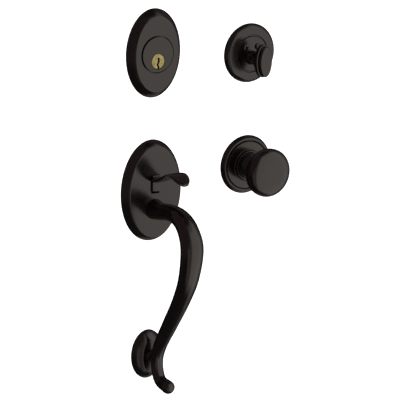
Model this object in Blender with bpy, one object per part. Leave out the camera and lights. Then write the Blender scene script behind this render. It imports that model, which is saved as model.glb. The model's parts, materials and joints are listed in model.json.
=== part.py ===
"""Entry door handleset: outside deadbolt and thumb-latch grip, inside thumb turn and knob.

Metres. The door face is the plane Y = 0, the trim stands out along -Y, and +Z is up.
The origin is the centre of the grip's escutcheon on the door face. The outside trim is
the left column, and the inside trim stands beside it as the right column.
A profile is a list of (radius, out), where out is the distance from the door face.
A shoulder is a list of (inset, out), where inset is measured from the plate's rim.
"""

import math

import bmesh
import bpy
from mathutils import Vector

# Places on the door face
INSIDE_COLUMN_X = 0.1253
DEADBOLT_Z = 0.1521
TURN_ROSE_Z = 0.1421
KNOB_Z = 0.0151
LOWER_ROSE_Z = -0.1886

# Clearances
RUN = 0.0003  # between pieces that seat on each other
FIT = 0.0004  # round a piece that passes through a hole
PAST = 0.0010  # how far a cutter runs past the face it opens

# Edges
CHAMFER = 0.0005
ROUND_SHOULDER = (18, 60)  # slope of a plate's side at its rim and at its face, in degrees
FLAT_SHOULDER = (36, 56)

# Forged plates of the outside trim
PLATE_WALL = 0.0028
ESCUTCHEON_WIDTH = 0.0755
ESCUTCHEON_HEIGHT = 0.1136
ESCUTCHEON_DEPTH = 0.0110
ESCUTCHEON_RIM = 0.0020
ESCUTCHEON_SHOULDER = 0.0058
ROSETTE_WIDTH = 0.0687
ROSETTE_HEIGHT = 0.0980
ROSETTE_DEPTH = 0.0095
ROSETTE_RIM = 0.0008
ROSETTE_SHOULDER = 0.0076
LOWER_ROSE_WIDTH = 0.0408
LOWER_ROSE_HEIGHT = 0.0566
LOWER_ROSE_DEPTH = 0.0100
LOWER_ROSE_RIM = 0.0020
LOWER_ROSE_SHOULDER = 0.0066

# Outside cylinder and key plug
CYLINDER_RADIUS = 0.0192
CYLINDER_PROUD = 0.0022
CYLINDER_FLANGE = 0.0023
CYLINDER_FLANGE_THICKNESS = 0.0022
CYLINDER_BACK = 0.0140  # behind the door face
PLUG_RADIUS = 0.0084
PLUG_DROP = 0.0074  # plug axis below the cylinder's axis
PLUG_PROUD = 0.0003
PLUG_TAIL_RADIUS = 0.0056
PLUG_TAIL_LENGTH = 0.0050
KEYWAY_WIDTH = 0.0012
KEYWAY_BEND = 0.0006
KEYWAY_DEPTH = 0.0220
KEYWAY_TOP = 0.0042
KEYWAY_TURNS = (-0.0012, -0.0026, -0.0044, -0.0058)  # heights where the keyway changes side
TAILPIECE_WIDTH = 0.0070
TAILPIECE_THICKNESS = 0.0018
TAILPIECE_SEAT = 0.0040  # length held in the plug's tail
TAILPIECE_REACH = 0.0310
CLIP_WALL = 0.0030
CLIP_THICKNESS = 0.0016

# Fixing screws and posts
POST_SPREAD = 0.0157  # between the two fixing screws
POST_RISE = 0.0119  # fixing screws above the plug and turn axis
TAPPED_RADIUS = 0.0018
TAPPED_DEPTH = 0.0100
SCREW_HEAD_RADIUS = 0.0036
SCREW_HEAD_TOP_RADIUS = 0.0018
SCREW_HEAD_EDGE = 0.0004
SCREW_HEAD_HEIGHT = 0.0012
SCREW_SHANK_RADIUS = 0.0016
FIXING_SCREW_REACH = 0.0115

# Round roses of the inside trim
ROSE_WALL = 0.0026
ROSE_GROOVE_WIDTH = 0.0012
ROSE_GROOVE_DEPTH = 0.0010
TURN_ROSE_RADIUS = 0.0332
TURN_ROSE_DEPTH = 0.0060
TURN_ROSE_RIM = 0.0006
TURN_ROSE_SHOULDER = 0.0054
TURN_GROOVE_RADIUS = 0.0204
KNOB_ROSE_RADIUS = 0.0335
KNOB_ROSE_DEPTH = 0.0105
KNOB_ROSE_RIM = 0.0010
KNOB_STEP_DEPTH = 0.0064
KNOB_GROOVE_RADIUS = 0.0272
KNOB_GROOVE_OUT = 0.0034
KNOB_COVE_RADIUS = 0.0213
KNOB_COLLAR_RADIUS = 0.0172
KNOB_BEAD_LINE = ((0.0022, 0.0044), (0.0032, 0.0053), (0.0043, 0.0056), (0.0052, 0.0051))

# Inside thumb turn
TURN_AXIS_DROP = 0.0045  # turn axis below the rose's centre
TURN_HUB_RADIUS = 0.0080
TURN_HUB_HEIGHT = 0.0008
TURN_SHANK_RADIUS = 0.0058
TURN_NECK_RADIUS = 0.0062
TURN_NECK_LENGTH = 0.0045
TURN_WIDTH = 0.0184
TURN_HEIGHT = 0.0364
TURN_REACH = 0.0352
TURN_FLARE_POWER = 1.6
TURN_BAND = 0.0022  # thickness of the widest band of the wing
TURN_FACE_HEIGHT = 0.0043  # face above that band
TURN_STEP = 0.0012
TURN_TAIL = 0.0040  # shaft behind the door face
TURN_SOCKET_FLOOR = 0.0060

# Inside knob
KNOB_HUB_RADIUS = 0.0128
KNOB_HUB_PROUD = 0.0016
KNOB_HUB_CHAMFER = 0.0010
KNOB_SHANK_RADIUS = 0.0102
KNOB_NECK_LENGTH = 0.0075
KNOB_NECK_FLARE = 0.0016
KNOB_RADIUS = 0.0272
KNOB_BACK = 0.0300  # where the neck opens into the knob, out from the door face
KNOB_BELLY = 0.0450  # widest part, out from the door face
KNOB_BAND = 0.0012
KNOB_REACH = 0.0560
KNOB_FACE_POWER = 0.5  # lower is flatter in the middle of the face
BEARING_WALL = 0.0012
SPINDLE_SIDE = 0.0076
SPINDLE_REACH = 0.0280
SPINDLE_GRIP = 0.0200  # length held in the knob's shank
GRUB_RADIUS = 0.0019
GRUB_SETBACK = 0.0055  # set screw behind the knob's back

# Back plates, return spring and posts
STEEL_PLATE = 0.0018
SPRING_WIRE = 0.0011
SPRING_RADIUS = 0.0146
SPRING_PITCH = 1.25  # in wires
SPRING_TURNS = 1.5
SPINDLE_WINDOW_RADIUS = 0.0060
KNOB_SCREW_RADIUS = 0.0202  # from the knob's axis to its fixing screws
POST_RADIUS = 0.0045
POST_SHANK_RADIUS = 0.0036
POST_REACH = 0.0160
POST_WALL_GAP = 0.0020  # from a post's head to the escutcheon's inner wall

# Grip and its feet
GRIP_ROOT_Z = -0.0192
GRIP_SPIGOT_RADIUS = 0.0068
GRIP_BOLT_RADIUS = 0.0024
GRIP_BOLT_HEAD_RADIUS = 0.0048
GRIP_BOLT_HEAD = 0.0014
GRIP_BOLT_GRIP = 0.0120  # length held in the grip
GRIP_REACH = 0.0868
GRIP_RADIUS = 0.01245
GRIP_OVAL = 0.14
LUG_RADIUS = 0.0060
LUG_COLLAR_RADIUS = 0.0073
LUG_COLLAR = 0.0034
LUG_NECK_RADIUS = 0.0054

# Thumb latch
THUMB_PIVOT_OUT = 0.0040
THUMB_PIVOT_Z = 0.0125
THUMB_SWING = 12  # degrees the lever can be pressed down
THUMB_BLOCK_WIDTH = 0.0098
THUMB_BLOCK_PROUD = 0.0026
THUMB_BLOCK_WALL = 0.0054
THUMB_BLOCK_DROP = 0.0117  # foot of the block below the pivot
THUMB_BLOCK_RISE = 0.0064
THUMB_BLOCK_SLOPE = 0.0034
THUMB_LUG_WIDTH = 0.0062
THUMB_LUG_RADIUS = 0.0042
THUMB_REACH = 0.0657  # from the pivot to the lever's last section
THUMB_RISE = 0.0170
THUMB_PAD_WIDTH = 0.0220
THUMB_ROOT_THICKNESS = 0.0060
THUMB_TIP = 0.0017
THUMB_TAIL_REACH = 0.0240
THUMB_TAIL_WIDTH = 0.0056
THUMB_TAIL_THICKNESS = 0.0030
PIVOT_PIN_RADIUS = 0.0015
PIVOT_PIN_END = 0.0012
EAR_GAP = 0.0180
EAR_THICKNESS = 0.0016
EAR_WALL = 0.0012
EAR_HALF = 0.0050
TORSION_WIRE = 0.0008
TORSION_PITCH = 1.3  # in wires
TORSION_TURNS = 2.5

# Facets round a turn, and steps along a curve
FINE = 44
PLAIN = 28
TUBE = 20
SMALL = 12
WIRE = 6
LINE_STEPS = 3  # per span of a line
SHOULDER_STEPS = 4
FLARE_STEPS = 4
SPRING_STEPS = 30
TORSION_STEPS = 35
SHARP_ANGLE = 32  # degrees between faces that meet at a crisp edge
COVE_ANGLES = (0, 30, 60, 90)
KNOB_BACK_ANGLES = (15, 30, 45, 60, 75, 90)
KNOB_FACE_ANGLES = (0, 18, 36, 52, 66, 78, 87)
GRIP_TIP_ANGLES = (25, 48, 68, 82)

# Finishes: red, green, blue, roughness, metallic
BRONZE = (0.021, 0.016, 0.015, 0.28, 0.35)
BRASS = (0.60, 0.42, 0.13, 0.30, 1.0)
ZINC = (0.52, 0.53, 0.54, 0.38, 1.0)
NYLON = (0.02, 0.02, 0.02, 0.55, 0.0)

# The grip's line: share of its reach, share of the drop from root to lower rose, share of its radius
GRIP_LINE = (
    (0.165, 0.000, 0.890),
    (0.285, -0.004, 0.810),
    (0.500, -0.021, 0.790),
    (0.712, -0.013, 0.851),
    (0.890, 0.041, 0.920),
    (1.000, 0.156, 1.000),
    (0.944, 0.352, 0.911),
    (0.784, 0.527, 0.800),
    (0.544, 0.720, 0.712),
    (0.324, 0.898, 0.614),
    (0.257, 1.019, 0.551),
    (0.335, 1.128, 0.552),
    (0.532, 1.151, 0.605),
)

# The thumb lever's line from its pivot: shares of its reach, rise, pad width and root thickness
THUMB_LINE = (
    (0.099, 0.176, 0.43, 1.00),
    (0.259, 0.294, 0.34, 0.87),
    (0.411, 0.424, 0.30, 0.73),
    (0.563, 0.641, 0.40, 0.70),
    (0.674, 0.876, 0.68, 0.70),
    (0.769, 1.000, 0.92, 0.67),
    (0.857, 0.947, 1.00, 0.67),
    (0.941, 0.741, 0.88, 0.63),
    (1.000, 0.529, 0.52, 0.50),
)
THUMB_TIP_ROUND = ((0.70, 0.62), (1.00, 0.25))  # share of the tip's length, share of the last section


def clear_scene():
    for obj in list(bpy.data.objects):
        bpy.data.objects.remove(obj, do_unlink=True)


def make_material(name, finish):
    red, green, blue, roughness, metallic = finish
    material = bpy.data.materials.new(name)
    material.use_nodes = True
    shader = material.node_tree.nodes["Principled BSDF"]
    shader.inputs["Base Color"].default_value = (red, green, blue, 1.0)
    shader.inputs["Roughness"].default_value = roughness
    shader.inputs["Metallic"].default_value = metallic
    return material


def group(name, x, z):
    """An empty on the door face that carries one unit of trim."""
    empty = bpy.data.objects.new(name, None)
    empty.location = (x, 0.0, z)
    bpy.context.scene.collection.objects.link(empty)
    return empty


def add_object(name, mesh, parent, location, material):
    obj = bpy.data.objects.new(name, mesh)
    bpy.context.scene.collection.objects.link(obj)
    obj.parent = parent
    obj.location = location
    if material is not None:
        mesh.materials.append(material)
    mesh.shade_smooth()
    mesh.set_sharp_from_angle(angle=math.radians(SHARP_ANGLE))
    return obj


def skin(name, rings, loop=False):
    """A closed mesh through rings of equal length, capped at both ends unless it loops back."""
    mesh_build = bmesh.new()
    rows = [[mesh_build.verts.new(point) for point in ring] for ring in rings]
    pairs = list(zip(rows, rows[1:]))
    if loop:
        pairs.append((rows[-1], rows[0]))
    for low, high in pairs:
        for i in range(len(low)):
            j = (i + 1) % len(low)
            mesh_build.faces.new((low[i], low[j], high[j], high[i]))
    if not loop:
        mesh_build.faces.new(rows[0][::-1])
        mesh_build.faces.new(rows[-1])
    bmesh.ops.recalc_face_normals(mesh_build, faces=mesh_build.faces)
    mesh = bpy.data.meshes.new(name)
    mesh_build.to_mesh(mesh)
    mesh_build.free()
    return mesh


def oval(half_width, half_height, out, count):
    """A ring parallel to the door face, with a flat and not a corner on each axis."""
    turn = 2 * math.pi / count
    angles = [(i + 0.5) * turn for i in range(count)]
    return [Vector((half_width * math.cos(angle), -out, half_height * math.sin(angle))) for angle in angles]


def turned(name, profile, count, loop=False):
    """A profile of (radius, out) turned about the local Y axis. Its ends are flat discs."""
    return skin(name, [oval(radius, radius, out, count) for radius, out in profile], loop)


def drilled(name, radius, low_out, high_out, count):
    """A plain round cutter between two distances from the door face."""
    return turned(name, [(radius, high_out), (radius, low_out)], count)


def washer(name, inner, outer, front, thickness, count):
    """A flat ring behind the plane at distance front."""
    back = front - thickness
    return turned(name, [(inner, front), (outer, front), (outer, back), (inner, back)], count, True)


def extruded(name, outline, start, end, axis="Y"):
    """An outline of (x, z), or (y, z) for axis X, carried from start to end along the axis."""
    if axis == "Y":
        rings = [[Vector((a, along, b)) for a, b in outline] for along in (start, end)]
    else:
        rings = [[Vector((along, a, b)) for a, b in outline] for along in (start, end)]
    return skin(name, rings)


def rectangle(half_width, low, high):
    return [(-half_width, low), (half_width, low), (half_width, high), (-half_width, high)]


def circle(centre_a, centre_b, radius):
    """The outline of a small round."""
    turn = 2 * math.pi / SMALL
    angles = [(i + 0.5) * turn for i in range(SMALL)]
    return [(centre_a + radius * math.cos(angle), centre_b + radius * math.sin(angle)) for angle in angles]


def cut(target, name, mesh, location=(0.0, 0.0, 0.0)):
    """Takes a helper solid away from the target. The helper stays hidden in the same group."""
    helper = add_object(name, mesh, target.parent, location, None)
    helper.hide_render = True
    helper.display_type = "WIRE"
    boolean = target.modifiers.new(name, "BOOLEAN")
    boolean.operation = "DIFFERENCE"
    boolean.object = helper


def join(target, name, mesh, location=(0.0, 0.0, 0.0)):
    """Adds a helper solid to the target."""
    cut(target, name, mesh, location)
    target.modifiers[name].operation = "UNION"


def smooth_points(points, steps):
    """A curve through the points, each span with its own number of steps."""
    padded = [2 * points[0] - points[1], *points, 2 * points[-1] - points[-2]]
    curve = []
    for i in range(len(points) - 1):
        p0, p1, p2, p3 = padded[i : i + 4]
        for j in range(steps):
            t = j / steps
            straight = 2 * p1 + (p2 - p0) * t
            bent = (2 * p0 - 5 * p1 + 4 * p2 - p3) * t**2 + (3 * p1 - p0 - 3 * p2 + p3) * t**3
            curve.append(0.5 * (straight + bent))
    curve.append(points[-1])
    return curve


def wire(name, path, radius):
    """A round wire along a path, with flat ends."""
    rings = []
    side = (path[1] - path[0]).orthogonal()
    turn = 2 * math.pi / WIRE
    for i, point in enumerate(path):
        along = (path[min(i + 1, len(path) - 1)] - path[max(i - 1, 0)]).normalized()
        side = (side - along * side.dot(along)).normalized()
        other = along.cross(side)
        rings.append([point + radius * (side * math.cos(k * turn) + other * math.sin(k * turn))
                      for k in range(WIRE)])
    return skin(name, rings)


def shoulder_line(shoulder, rim, depth, slopes):
    """(inset, out) up the side of a plate: a short rim, then an arc between two slopes."""
    first, last = (math.radians(slope) for slope in slopes)
    across = math.cos(first) - math.cos(last)
    up = math.sin(last) - math.sin(first)
    points = [(0.0, 0.0), (0.0, rim)]
    for i in range(1, SHOULDER_STEPS + 1):
        angle = first + (last - first) * i / SHOULDER_STEPS
        inset = shoulder * (math.cos(first) - math.cos(angle)) / across
        points.append((inset, rim + (depth - rim) * (math.sin(angle) - math.sin(first)) / up))
    return points


def oval_shell(name, size, depth, outer, hole_radius=None):
    """A forged oval plate, hollow behind. With a hole radius its face ends at a round hole."""
    half_width, half_height = size[0] / 2, size[1] / 2
    rim, shoulder = outer[1][1], outer[-1][0]
    inner_face = depth - PLATE_WALL
    inner = [(PLATE_WALL + shoulder, inner_face), (PLATE_WALL, rim), (PLATE_WALL, 0.0)]
    rings = [oval(half_width - inset, half_height - inset, out, FINE) for inset, out in inner + outer]
    if hole_radius is None:
        return skin(name, rings)
    rings.append(oval(hole_radius, hole_radius, depth, FINE))
    rings.append(oval(hole_radius, hole_radius, inner_face, FINE))
    return skin(name, rings, loop=True)


def build_rosette(unit, finish):
    """Oval plate of the deadbolt, bored for the cylinder."""
    outer = shoulder_line(ROSETTE_SHOULDER, ROSETTE_RIM, ROSETTE_DEPTH, FLAT_SHOULDER)
    mesh = oval_shell("deadbolt_rosette", (ROSETTE_WIDTH, ROSETTE_HEIGHT), ROSETTE_DEPTH, outer,
                      CYLINDER_RADIUS + FIT)
    add_object("deadbolt_rosette", mesh, unit, (0, 0, 0), finish)


def build_cylinder(unit, finish):
    """Lock cylinder, flanged behind the rosette, bored for the plug and tapped for two screws."""
    front = ROSETTE_DEPTH + CYLINDER_PROUD
    seat = ROSETTE_DEPTH - PLATE_WALL - RUN
    flange_back = seat - CYLINDER_FLANGE_THICKNESS
    profile = [
        (CYLINDER_RADIUS - CHAMFER, front),
        (CYLINDER_RADIUS, front - CHAMFER),
        (CYLINDER_RADIUS, seat),
        (CYLINDER_RADIUS + CYLINDER_FLANGE, seat),
        (CYLINDER_RADIUS + CYLINDER_FLANGE, flange_back),
        (CYLINDER_RADIUS - CYLINDER_FLANGE, flange_back),
        (CYLINDER_RADIUS - CYLINDER_FLANGE, -CYLINDER_BACK),
    ]
    cylinder = add_object("deadbolt_cylinder", turned("deadbolt_cylinder", profile, FINE), unit,
                          (0, 0, 0), finish)
    bore = drilled("plug_bore", PLUG_RADIUS + RUN, -CYLINDER_BACK - PAST, front + PAST, PLAIN)
    cut(cylinder, "plug_bore", bore, (0, 0, -PLUG_DROP))
    for side, name in ((-1, "left"), (1, "right")):
        hole = drilled("tapped_hole", TAPPED_RADIUS, -CYLINDER_BACK - PAST, TAPPED_DEPTH - CYLINDER_BACK,
                       SMALL)
        cut(cylinder, f"tapped_hole_{name}", hole, (side * POST_SPREAD / 2, 0, POST_RISE - PLUG_DROP))


def build_plug(unit, brass, steel):
    """Key plug with its keyway, the clip behind the cylinder and the tailpiece in its slot."""
    axis = (0, 0, -PLUG_DROP)
    front = ROSETTE_DEPTH + CYLINDER_PROUD + PLUG_PROUD
    tail_end = CYLINDER_BACK + PLUG_TAIL_LENGTH
    profile = [
        (PLUG_RADIUS - CHAMFER, front),
        (PLUG_RADIUS, front - CHAMFER),
        (PLUG_RADIUS, -CYLINDER_BACK),
        (PLUG_TAIL_RADIUS, -CYLINDER_BACK),
        (PLUG_TAIL_RADIUS, -tail_end),
    ]
    plug = add_object("key_plug", turned("key_plug", profile, PLAIN), unit, axis, brass)

    half, bend = KEYWAY_WIDTH / 2, KEYWAY_BEND
    heights = (KEYWAY_TOP, *KEYWAY_TURNS, -PLUG_RADIUS - PAST)
    line = list(zip((bend, bend, -bend, -bend, bend, 0.0), heights))
    outline = [(x - half, z) for x, z in line] + [(x + half, z) for x, z in reversed(line)]
    cut(plug, "keyway", extruded("keyway", outline, -front - PAST, KEYWAY_DEPTH - front), axis)

    slot_floor = tail_end - TAILPIECE_SEAT
    half = TAILPIECE_THICKNESS / 2
    slot = rectangle(TAILPIECE_WIDTH / 2 + RUN, -half - RUN, half + RUN)
    cut(plug, "tail_slot", extruded("tail_slot", slot, slot_floor, tail_end + PAST), axis)
    bar = rectangle(TAILPIECE_WIDTH / 2, -half, half)
    add_object("deadbolt_tailpiece",
               extruded("deadbolt_tailpiece", bar, slot_floor + RUN, TAILPIECE_REACH), unit, axis, steel)

    inner = PLUG_TAIL_RADIUS + RUN
    clip = washer("plug_retaining_clip", inner, inner + CLIP_WALL, -CYLINDER_BACK - RUN, CLIP_THICKNESS,
                  PLAIN)
    add_object("plug_retaining_clip", clip, unit, axis, steel)


def add_screw(name, under, place, unit, material):
    """A cheese-head screw seated on the plane at distance under, its shank running back into the door."""
    edge = under + SCREW_HEAD_EDGE
    top = under + SCREW_HEAD_HEIGHT
    profile = [
        (SCREW_SHANK_RADIUS, -FIXING_SCREW_REACH),
        (SCREW_SHANK_RADIUS, under),
        (SCREW_HEAD_RADIUS, under),
        (SCREW_HEAD_RADIUS, edge),
        ((SCREW_HEAD_RADIUS + SCREW_HEAD_TOP_RADIUS) / 2, top - SCREW_HEAD_EDGE / 2),
        (SCREW_HEAD_TOP_RADIUS, top),
    ]
    add_object(name, turned(name, profile, SMALL), unit, place, material)


def build_turn_rose(unit, finish):
    """Round rose with a shallow ring groove, bored off-centre for the turn and drilled for its screws."""
    depth = TURN_ROSE_DEPTH
    outer = shoulder_line(TURN_ROSE_SHOULDER, TURN_ROSE_RIM, depth - CHAMFER, FLAT_SHOULDER)
    side = [(TURN_ROSE_RADIUS - inset, out) for inset, out in outer]
    side.append((side[-1][0] - CHAMFER, depth))
    half = ROSE_GROOVE_WIDTH / 2
    floor = depth - ROSE_GROOVE_DEPTH
    groove = [(TURN_GROOVE_RADIUS + half, depth), (TURN_GROOVE_RADIUS + half / 2, floor),
              (TURN_GROOVE_RADIUS - half / 2, floor), (TURN_GROOVE_RADIUS - half, depth)]
    wall = TURN_ROSE_RADIUS - ROSE_WALL
    inside = [(wall - TURN_ROSE_SHOULDER, depth - ROSE_WALL), (wall, TURN_ROSE_RIM), (wall, 0.0)]
    rose = add_object("turn_rose", turned("turn_rose", inside + side + groove, FINE), unit, (0, 0, 0),
                      finish)
    bore = drilled("turn_bore", TURN_SHANK_RADIUS + FIT, -PAST, depth + PAST, PLAIN)
    cut(rose, "turn_bore", bore, (0, 0, -TURN_AXIS_DROP))
    screw_z = POST_RISE - TURN_AXIS_DROP
    for side_sign, name in ((-1, "left"), (1, "right")):
        place = (side_sign * POST_SPREAD / 2, 0, screw_z)
        hole = drilled("screw_hole", SCREW_SHANK_RADIUS + RUN, -PAST, depth + PAST, SMALL)
        cut(rose, f"screw_hole_{name}", hole, place)
        add_screw(f"turn_fixing_screw_{name}", depth + RUN, place, unit, finish)


def build_turn_piece(unit, finish, steel):
    """Oval wing on a flared neck, with a stepped edge, its shaft and the clip behind the rose."""
    axis = (0, 0, -TURN_AXIS_DROP)
    foot = TURN_ROSE_DEPTH + RUN
    half_width, half_height = TURN_WIDTH / 2, TURN_HEIGHT / 2
    neck = foot + TURN_NECK_LENGTH
    band_front = TURN_REACH - TURN_FACE_HEIGHT
    flare = band_front - TURN_BAND
    rings = [
        oval(TURN_SHANK_RADIUS, TURN_SHANK_RADIUS, -TURN_TAIL, PLAIN),
        oval(TURN_SHANK_RADIUS, TURN_SHANK_RADIUS, foot, PLAIN),
        oval(TURN_HUB_RADIUS, TURN_HUB_RADIUS, foot, PLAIN),
        oval(TURN_HUB_RADIUS, TURN_HUB_RADIUS, foot + TURN_HUB_HEIGHT, PLAIN),
        oval(TURN_NECK_RADIUS, TURN_NECK_RADIUS, neck, PLAIN),
    ]
    for i in range(1, FLARE_STEPS + 1):
        spread = (i / FLARE_STEPS) ** TURN_FLARE_POWER
        wide = TURN_NECK_RADIUS + (half_width - TURN_NECK_RADIUS) * spread
        tall = TURN_NECK_RADIUS + (half_height - TURN_NECK_RADIUS) * spread
        rings.append(oval(wide, tall, neck + (flare - neck) * i / FLARE_STEPS, PLAIN))
    for inset, out in ((0.0, band_front), (TURN_STEP, band_front + CHAMFER),
                       (TURN_STEP, TURN_REACH - 2 * CHAMFER), (TURN_STEP + 2 * CHAMFER, TURN_REACH)):
        rings.append(oval(half_width - inset, half_height - inset, out, PLAIN))
    turn = add_object("turn_piece", skin("turn_piece", rings), unit, axis, finish)
    half = TAILPIECE_THICKNESS / 2
    slot = rectangle(TAILPIECE_WIDTH / 2 + RUN, -half - RUN, half + RUN)
    cut(turn, "tail_socket", extruded("tail_socket", slot, -TURN_SOCKET_FLOOR, TURN_TAIL + PAST), axis)

    inner = TURN_SHANK_RADIUS + RUN
    clip = washer("turn_retaining_clip", inner, inner + CLIP_WALL, TURN_ROSE_DEPTH - ROSE_WALL - RUN,
                  CLIP_THICKNESS, PLAIN)
    add_object("turn_retaining_clip", clip, unit, axis, steel)


def build_knob_rose(unit, finish, nylon):
    """Round rose with a beaded rim, a groove, a cove and a raised collar, and the bearing in its bore."""
    half = ROSE_GROOVE_WIDTH / 2
    step, top = KNOB_STEP_DEPTH, KNOB_ROSE_DEPTH
    bead = [(KNOB_ROSE_RADIUS, 0.0), (KNOB_ROSE_RADIUS, KNOB_ROSE_RIM)]
    bead += [(KNOB_ROSE_RADIUS - inset, out) for inset, out in KNOB_BEAD_LINE]
    edge = (KNOB_GROOVE_OUT + step) / 2
    groove = [(KNOB_GROOVE_RADIUS + half, edge), (KNOB_GROOVE_RADIUS, KNOB_GROOVE_OUT),
              (KNOB_GROOVE_RADIUS - half, edge), (KNOB_GROOVE_RADIUS - half, step)]
    cove = []
    for angle in COVE_ANGLES:
        turn = math.radians(angle)
        cove.append((KNOB_COVE_RADIUS - (KNOB_COVE_RADIUS - KNOB_COLLAR_RADIUS) * math.sin(turn),
                     step + (top - step - CHAMFER) * (1 - math.cos(turn))))
    hole = KNOB_HUB_RADIUS + BEARING_WALL + 2 * RUN
    lip = [(KNOB_COLLAR_RADIUS - CHAMFER, top), (hole, top), (hole, top - ROSE_WALL)]
    wall = KNOB_ROSE_RADIUS - ROSE_WALL
    inside = [(KNOB_COLLAR_RADIUS, top - ROSE_WALL), (KNOB_COVE_RADIUS, step - ROSE_WALL),
              (KNOB_GROOVE_RADIUS, KNOB_GROOVE_OUT - KNOB_ROSE_RIM), (wall, KNOB_ROSE_RIM), (wall, 0.0)]
    profile = bead + groove + cove + lip + inside
    add_object("knob_rose", turned("knob_rose", profile, FINE, True), unit, (0, 0, 0), finish)
    inner = KNOB_HUB_RADIUS + RUN
    bearing = washer("knob_bearing", inner, inner + BEARING_WALL, top - RUN, ROSE_WALL, PLAIN)
    add_object("knob_bearing", bearing, unit, (0, 0, 0), nylon)


def knob_profile():
    """From the shank's end to the middle of the face."""
    top = KNOB_ROSE_DEPTH
    low = KNOB_SHANK_RADIUS + KNOB_NECK_FLARE
    profile = [
        (KNOB_HUB_RADIUS, STEEL_PLATE + RUN),
        (KNOB_HUB_RADIUS, top + KNOB_HUB_PROUD),
        (KNOB_HUB_RADIUS - KNOB_HUB_CHAMFER, top + KNOB_HUB_PROUD + KNOB_HUB_CHAMFER),
        (KNOB_SHANK_RADIUS, top + KNOB_NECK_LENGTH),
        (KNOB_SHANK_RADIUS, KNOB_BACK - KNOB_NECK_FLARE),
        (low, KNOB_BACK + CHAMFER),
    ]
    for angle in KNOB_BACK_ANGLES:
        turn = math.radians(angle)
        profile.append((low + (KNOB_RADIUS - low) * math.sin(turn),
                        KNOB_BELLY - (KNOB_BELLY - KNOB_BACK - CHAMFER) * math.cos(turn)))
    band_front = KNOB_BELLY + KNOB_BAND
    for angle in KNOB_FACE_ANGLES:
        turn = math.radians(angle)
        profile.append((KNOB_RADIUS * math.cos(turn) ** KNOB_FACE_POWER,
                        band_front + (KNOB_REACH - band_front) * math.sin(turn)))
    return profile


def build_knob(unit, finish, steel):
    """Knob with a square socket, the spindle and set screw that hold it, and the ring that retains it."""
    origin = (0, 0, 0)
    knob = add_object("knob", turned("knob", knob_profile(), FINE), unit, origin, finish)
    shank_end = STEEL_PLATE + RUN
    half = SPINDLE_SIDE / 2
    socket_floor = shank_end + SPINDLE_GRIP
    socket = rectangle(half + RUN, -half - RUN, half + RUN)
    cut(knob, "spindle_socket", extruded("spindle_socket", socket, -socket_floor, PAST - shank_end))
    grub_out = KNOB_BACK - GRUB_SETBACK
    tapped = circle(-grub_out, 0, GRUB_RADIUS + RUN)
    cut(knob, "grub_hole", extruded("grub_hole", tapped, half, KNOB_SHANK_RADIUS + PAST, "X"))

    bar = rectangle(half, -half, half)
    add_object("knob_spindle", extruded("knob_spindle", bar, RUN - socket_floor, SPINDLE_REACH), unit,
               origin, steel)
    grub = circle(-grub_out, 0, GRUB_RADIUS)
    add_object("knob_set_screw",
               extruded("knob_set_screw", grub, half + RUN, KNOB_SHANK_RADIUS - RUN, "X"), unit, origin,
               steel)
    inner = KNOB_HUB_RADIUS + RUN
    ring = washer("knob_retaining_ring", inner, inner + CLIP_WALL, KNOB_ROSE_DEPTH - ROSE_WALL - 2 * RUN,
                  CLIP_THICKNESS, PLAIN)
    add_object("knob_retaining_ring", ring, unit, origin, steel)


def build_knob_plate(unit, steel):
    """Round steel plate behind the knob's rose, its two screws and the return spring in front of it."""
    plate = washer("knob_back_plate", SPINDLE_WINDOW_RADIUS, KNOB_GROOVE_RADIUS, STEEL_PLATE, STEEL_PLATE,
                   FINE)
    back_plate = add_object("knob_back_plate", plate, unit, (0, 0, 0), steel)
    for side_sign, name in ((-1, "left"), (1, "right")):
        place = (side_sign * KNOB_SCREW_RADIUS, 0, 0)
        hole = drilled("plate_hole", SCREW_SHANK_RADIUS + RUN, -PAST, STEEL_PLATE + PAST, SMALL)
        cut(back_plate, f"plate_hole_{name}", hole, place)
        add_screw(f"knob_fixing_screw_{name}", STEEL_PLATE + RUN, place, unit, steel)

    start = STEEL_PLATE + RUN + SPRING_WIRE / 2
    rise = SPRING_PITCH * SPRING_WIRE * SPRING_TURNS
    path = []
    for i in range(SPRING_STEPS + 1):
        angle = 2 * math.pi * SPRING_TURNS * i / SPRING_STEPS
        path.append(Vector((SPRING_RADIUS * math.cos(angle), -start - rise * i / SPRING_STEPS,
                            SPRING_RADIUS * math.sin(angle))))
    add_object("knob_return_spring", wire("knob_return_spring", path, SPRING_WIRE / 2), unit, (0, 0, 0),
               steel)


def grip_line(steps):
    """Points of (out, height, radius) along the grip, from its root to the curl below the lower rose."""
    drop = GRIP_ROOT_Z - LOWER_ROSE_Z
    points = [Vector((GRIP_REACH * out, GRIP_ROOT_Z - drop * fall, GRIP_RADIUS * size))
              for out, fall, size in GRIP_LINE]
    return smooth_points(points, steps)


def grip_rings():
    """Oval sections of the grip, square to its line, ending in a round tip."""
    line = grip_line(LINE_STEPS)
    last = len(line) - 1
    sections = []
    for i, (out, z, radius) in enumerate(line):
        ahead, behind = line[min(i + 1, last)], line[max(i - 1, 0)]
        along = Vector((0, behind[0] - ahead[0], ahead[1] - behind[1])).normalized()
        if i == 0:
            along = Vector((0, -1, 0))
        flat = GRIP_OVAL * math.sin(math.pi * i / last)
        normal = along.cross(Vector((1, 0, 0)))
        sections.append((Vector((0, -out, z)), normal, radius * (1 + flat / 2), radius * (1 - flat)))
    centre, normal, wide, deep = sections[-1]
    along = Vector((1, 0, 0)).cross(normal)
    for angle in GRIP_TIP_ANGLES:
        turn = math.radians(angle)
        sections.append((centre + along * deep * math.sin(turn), normal, wide * math.cos(turn),
                         deep * math.cos(turn)))
    turn = 2 * math.pi / TUBE
    return [
        [centre + Vector((wide * math.cos(k * turn), 0, 0)) + normal * deep * math.sin(k * turn)
         for k in range(TUBE)]
        for centre, normal, wide, deep in sections
    ]


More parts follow.
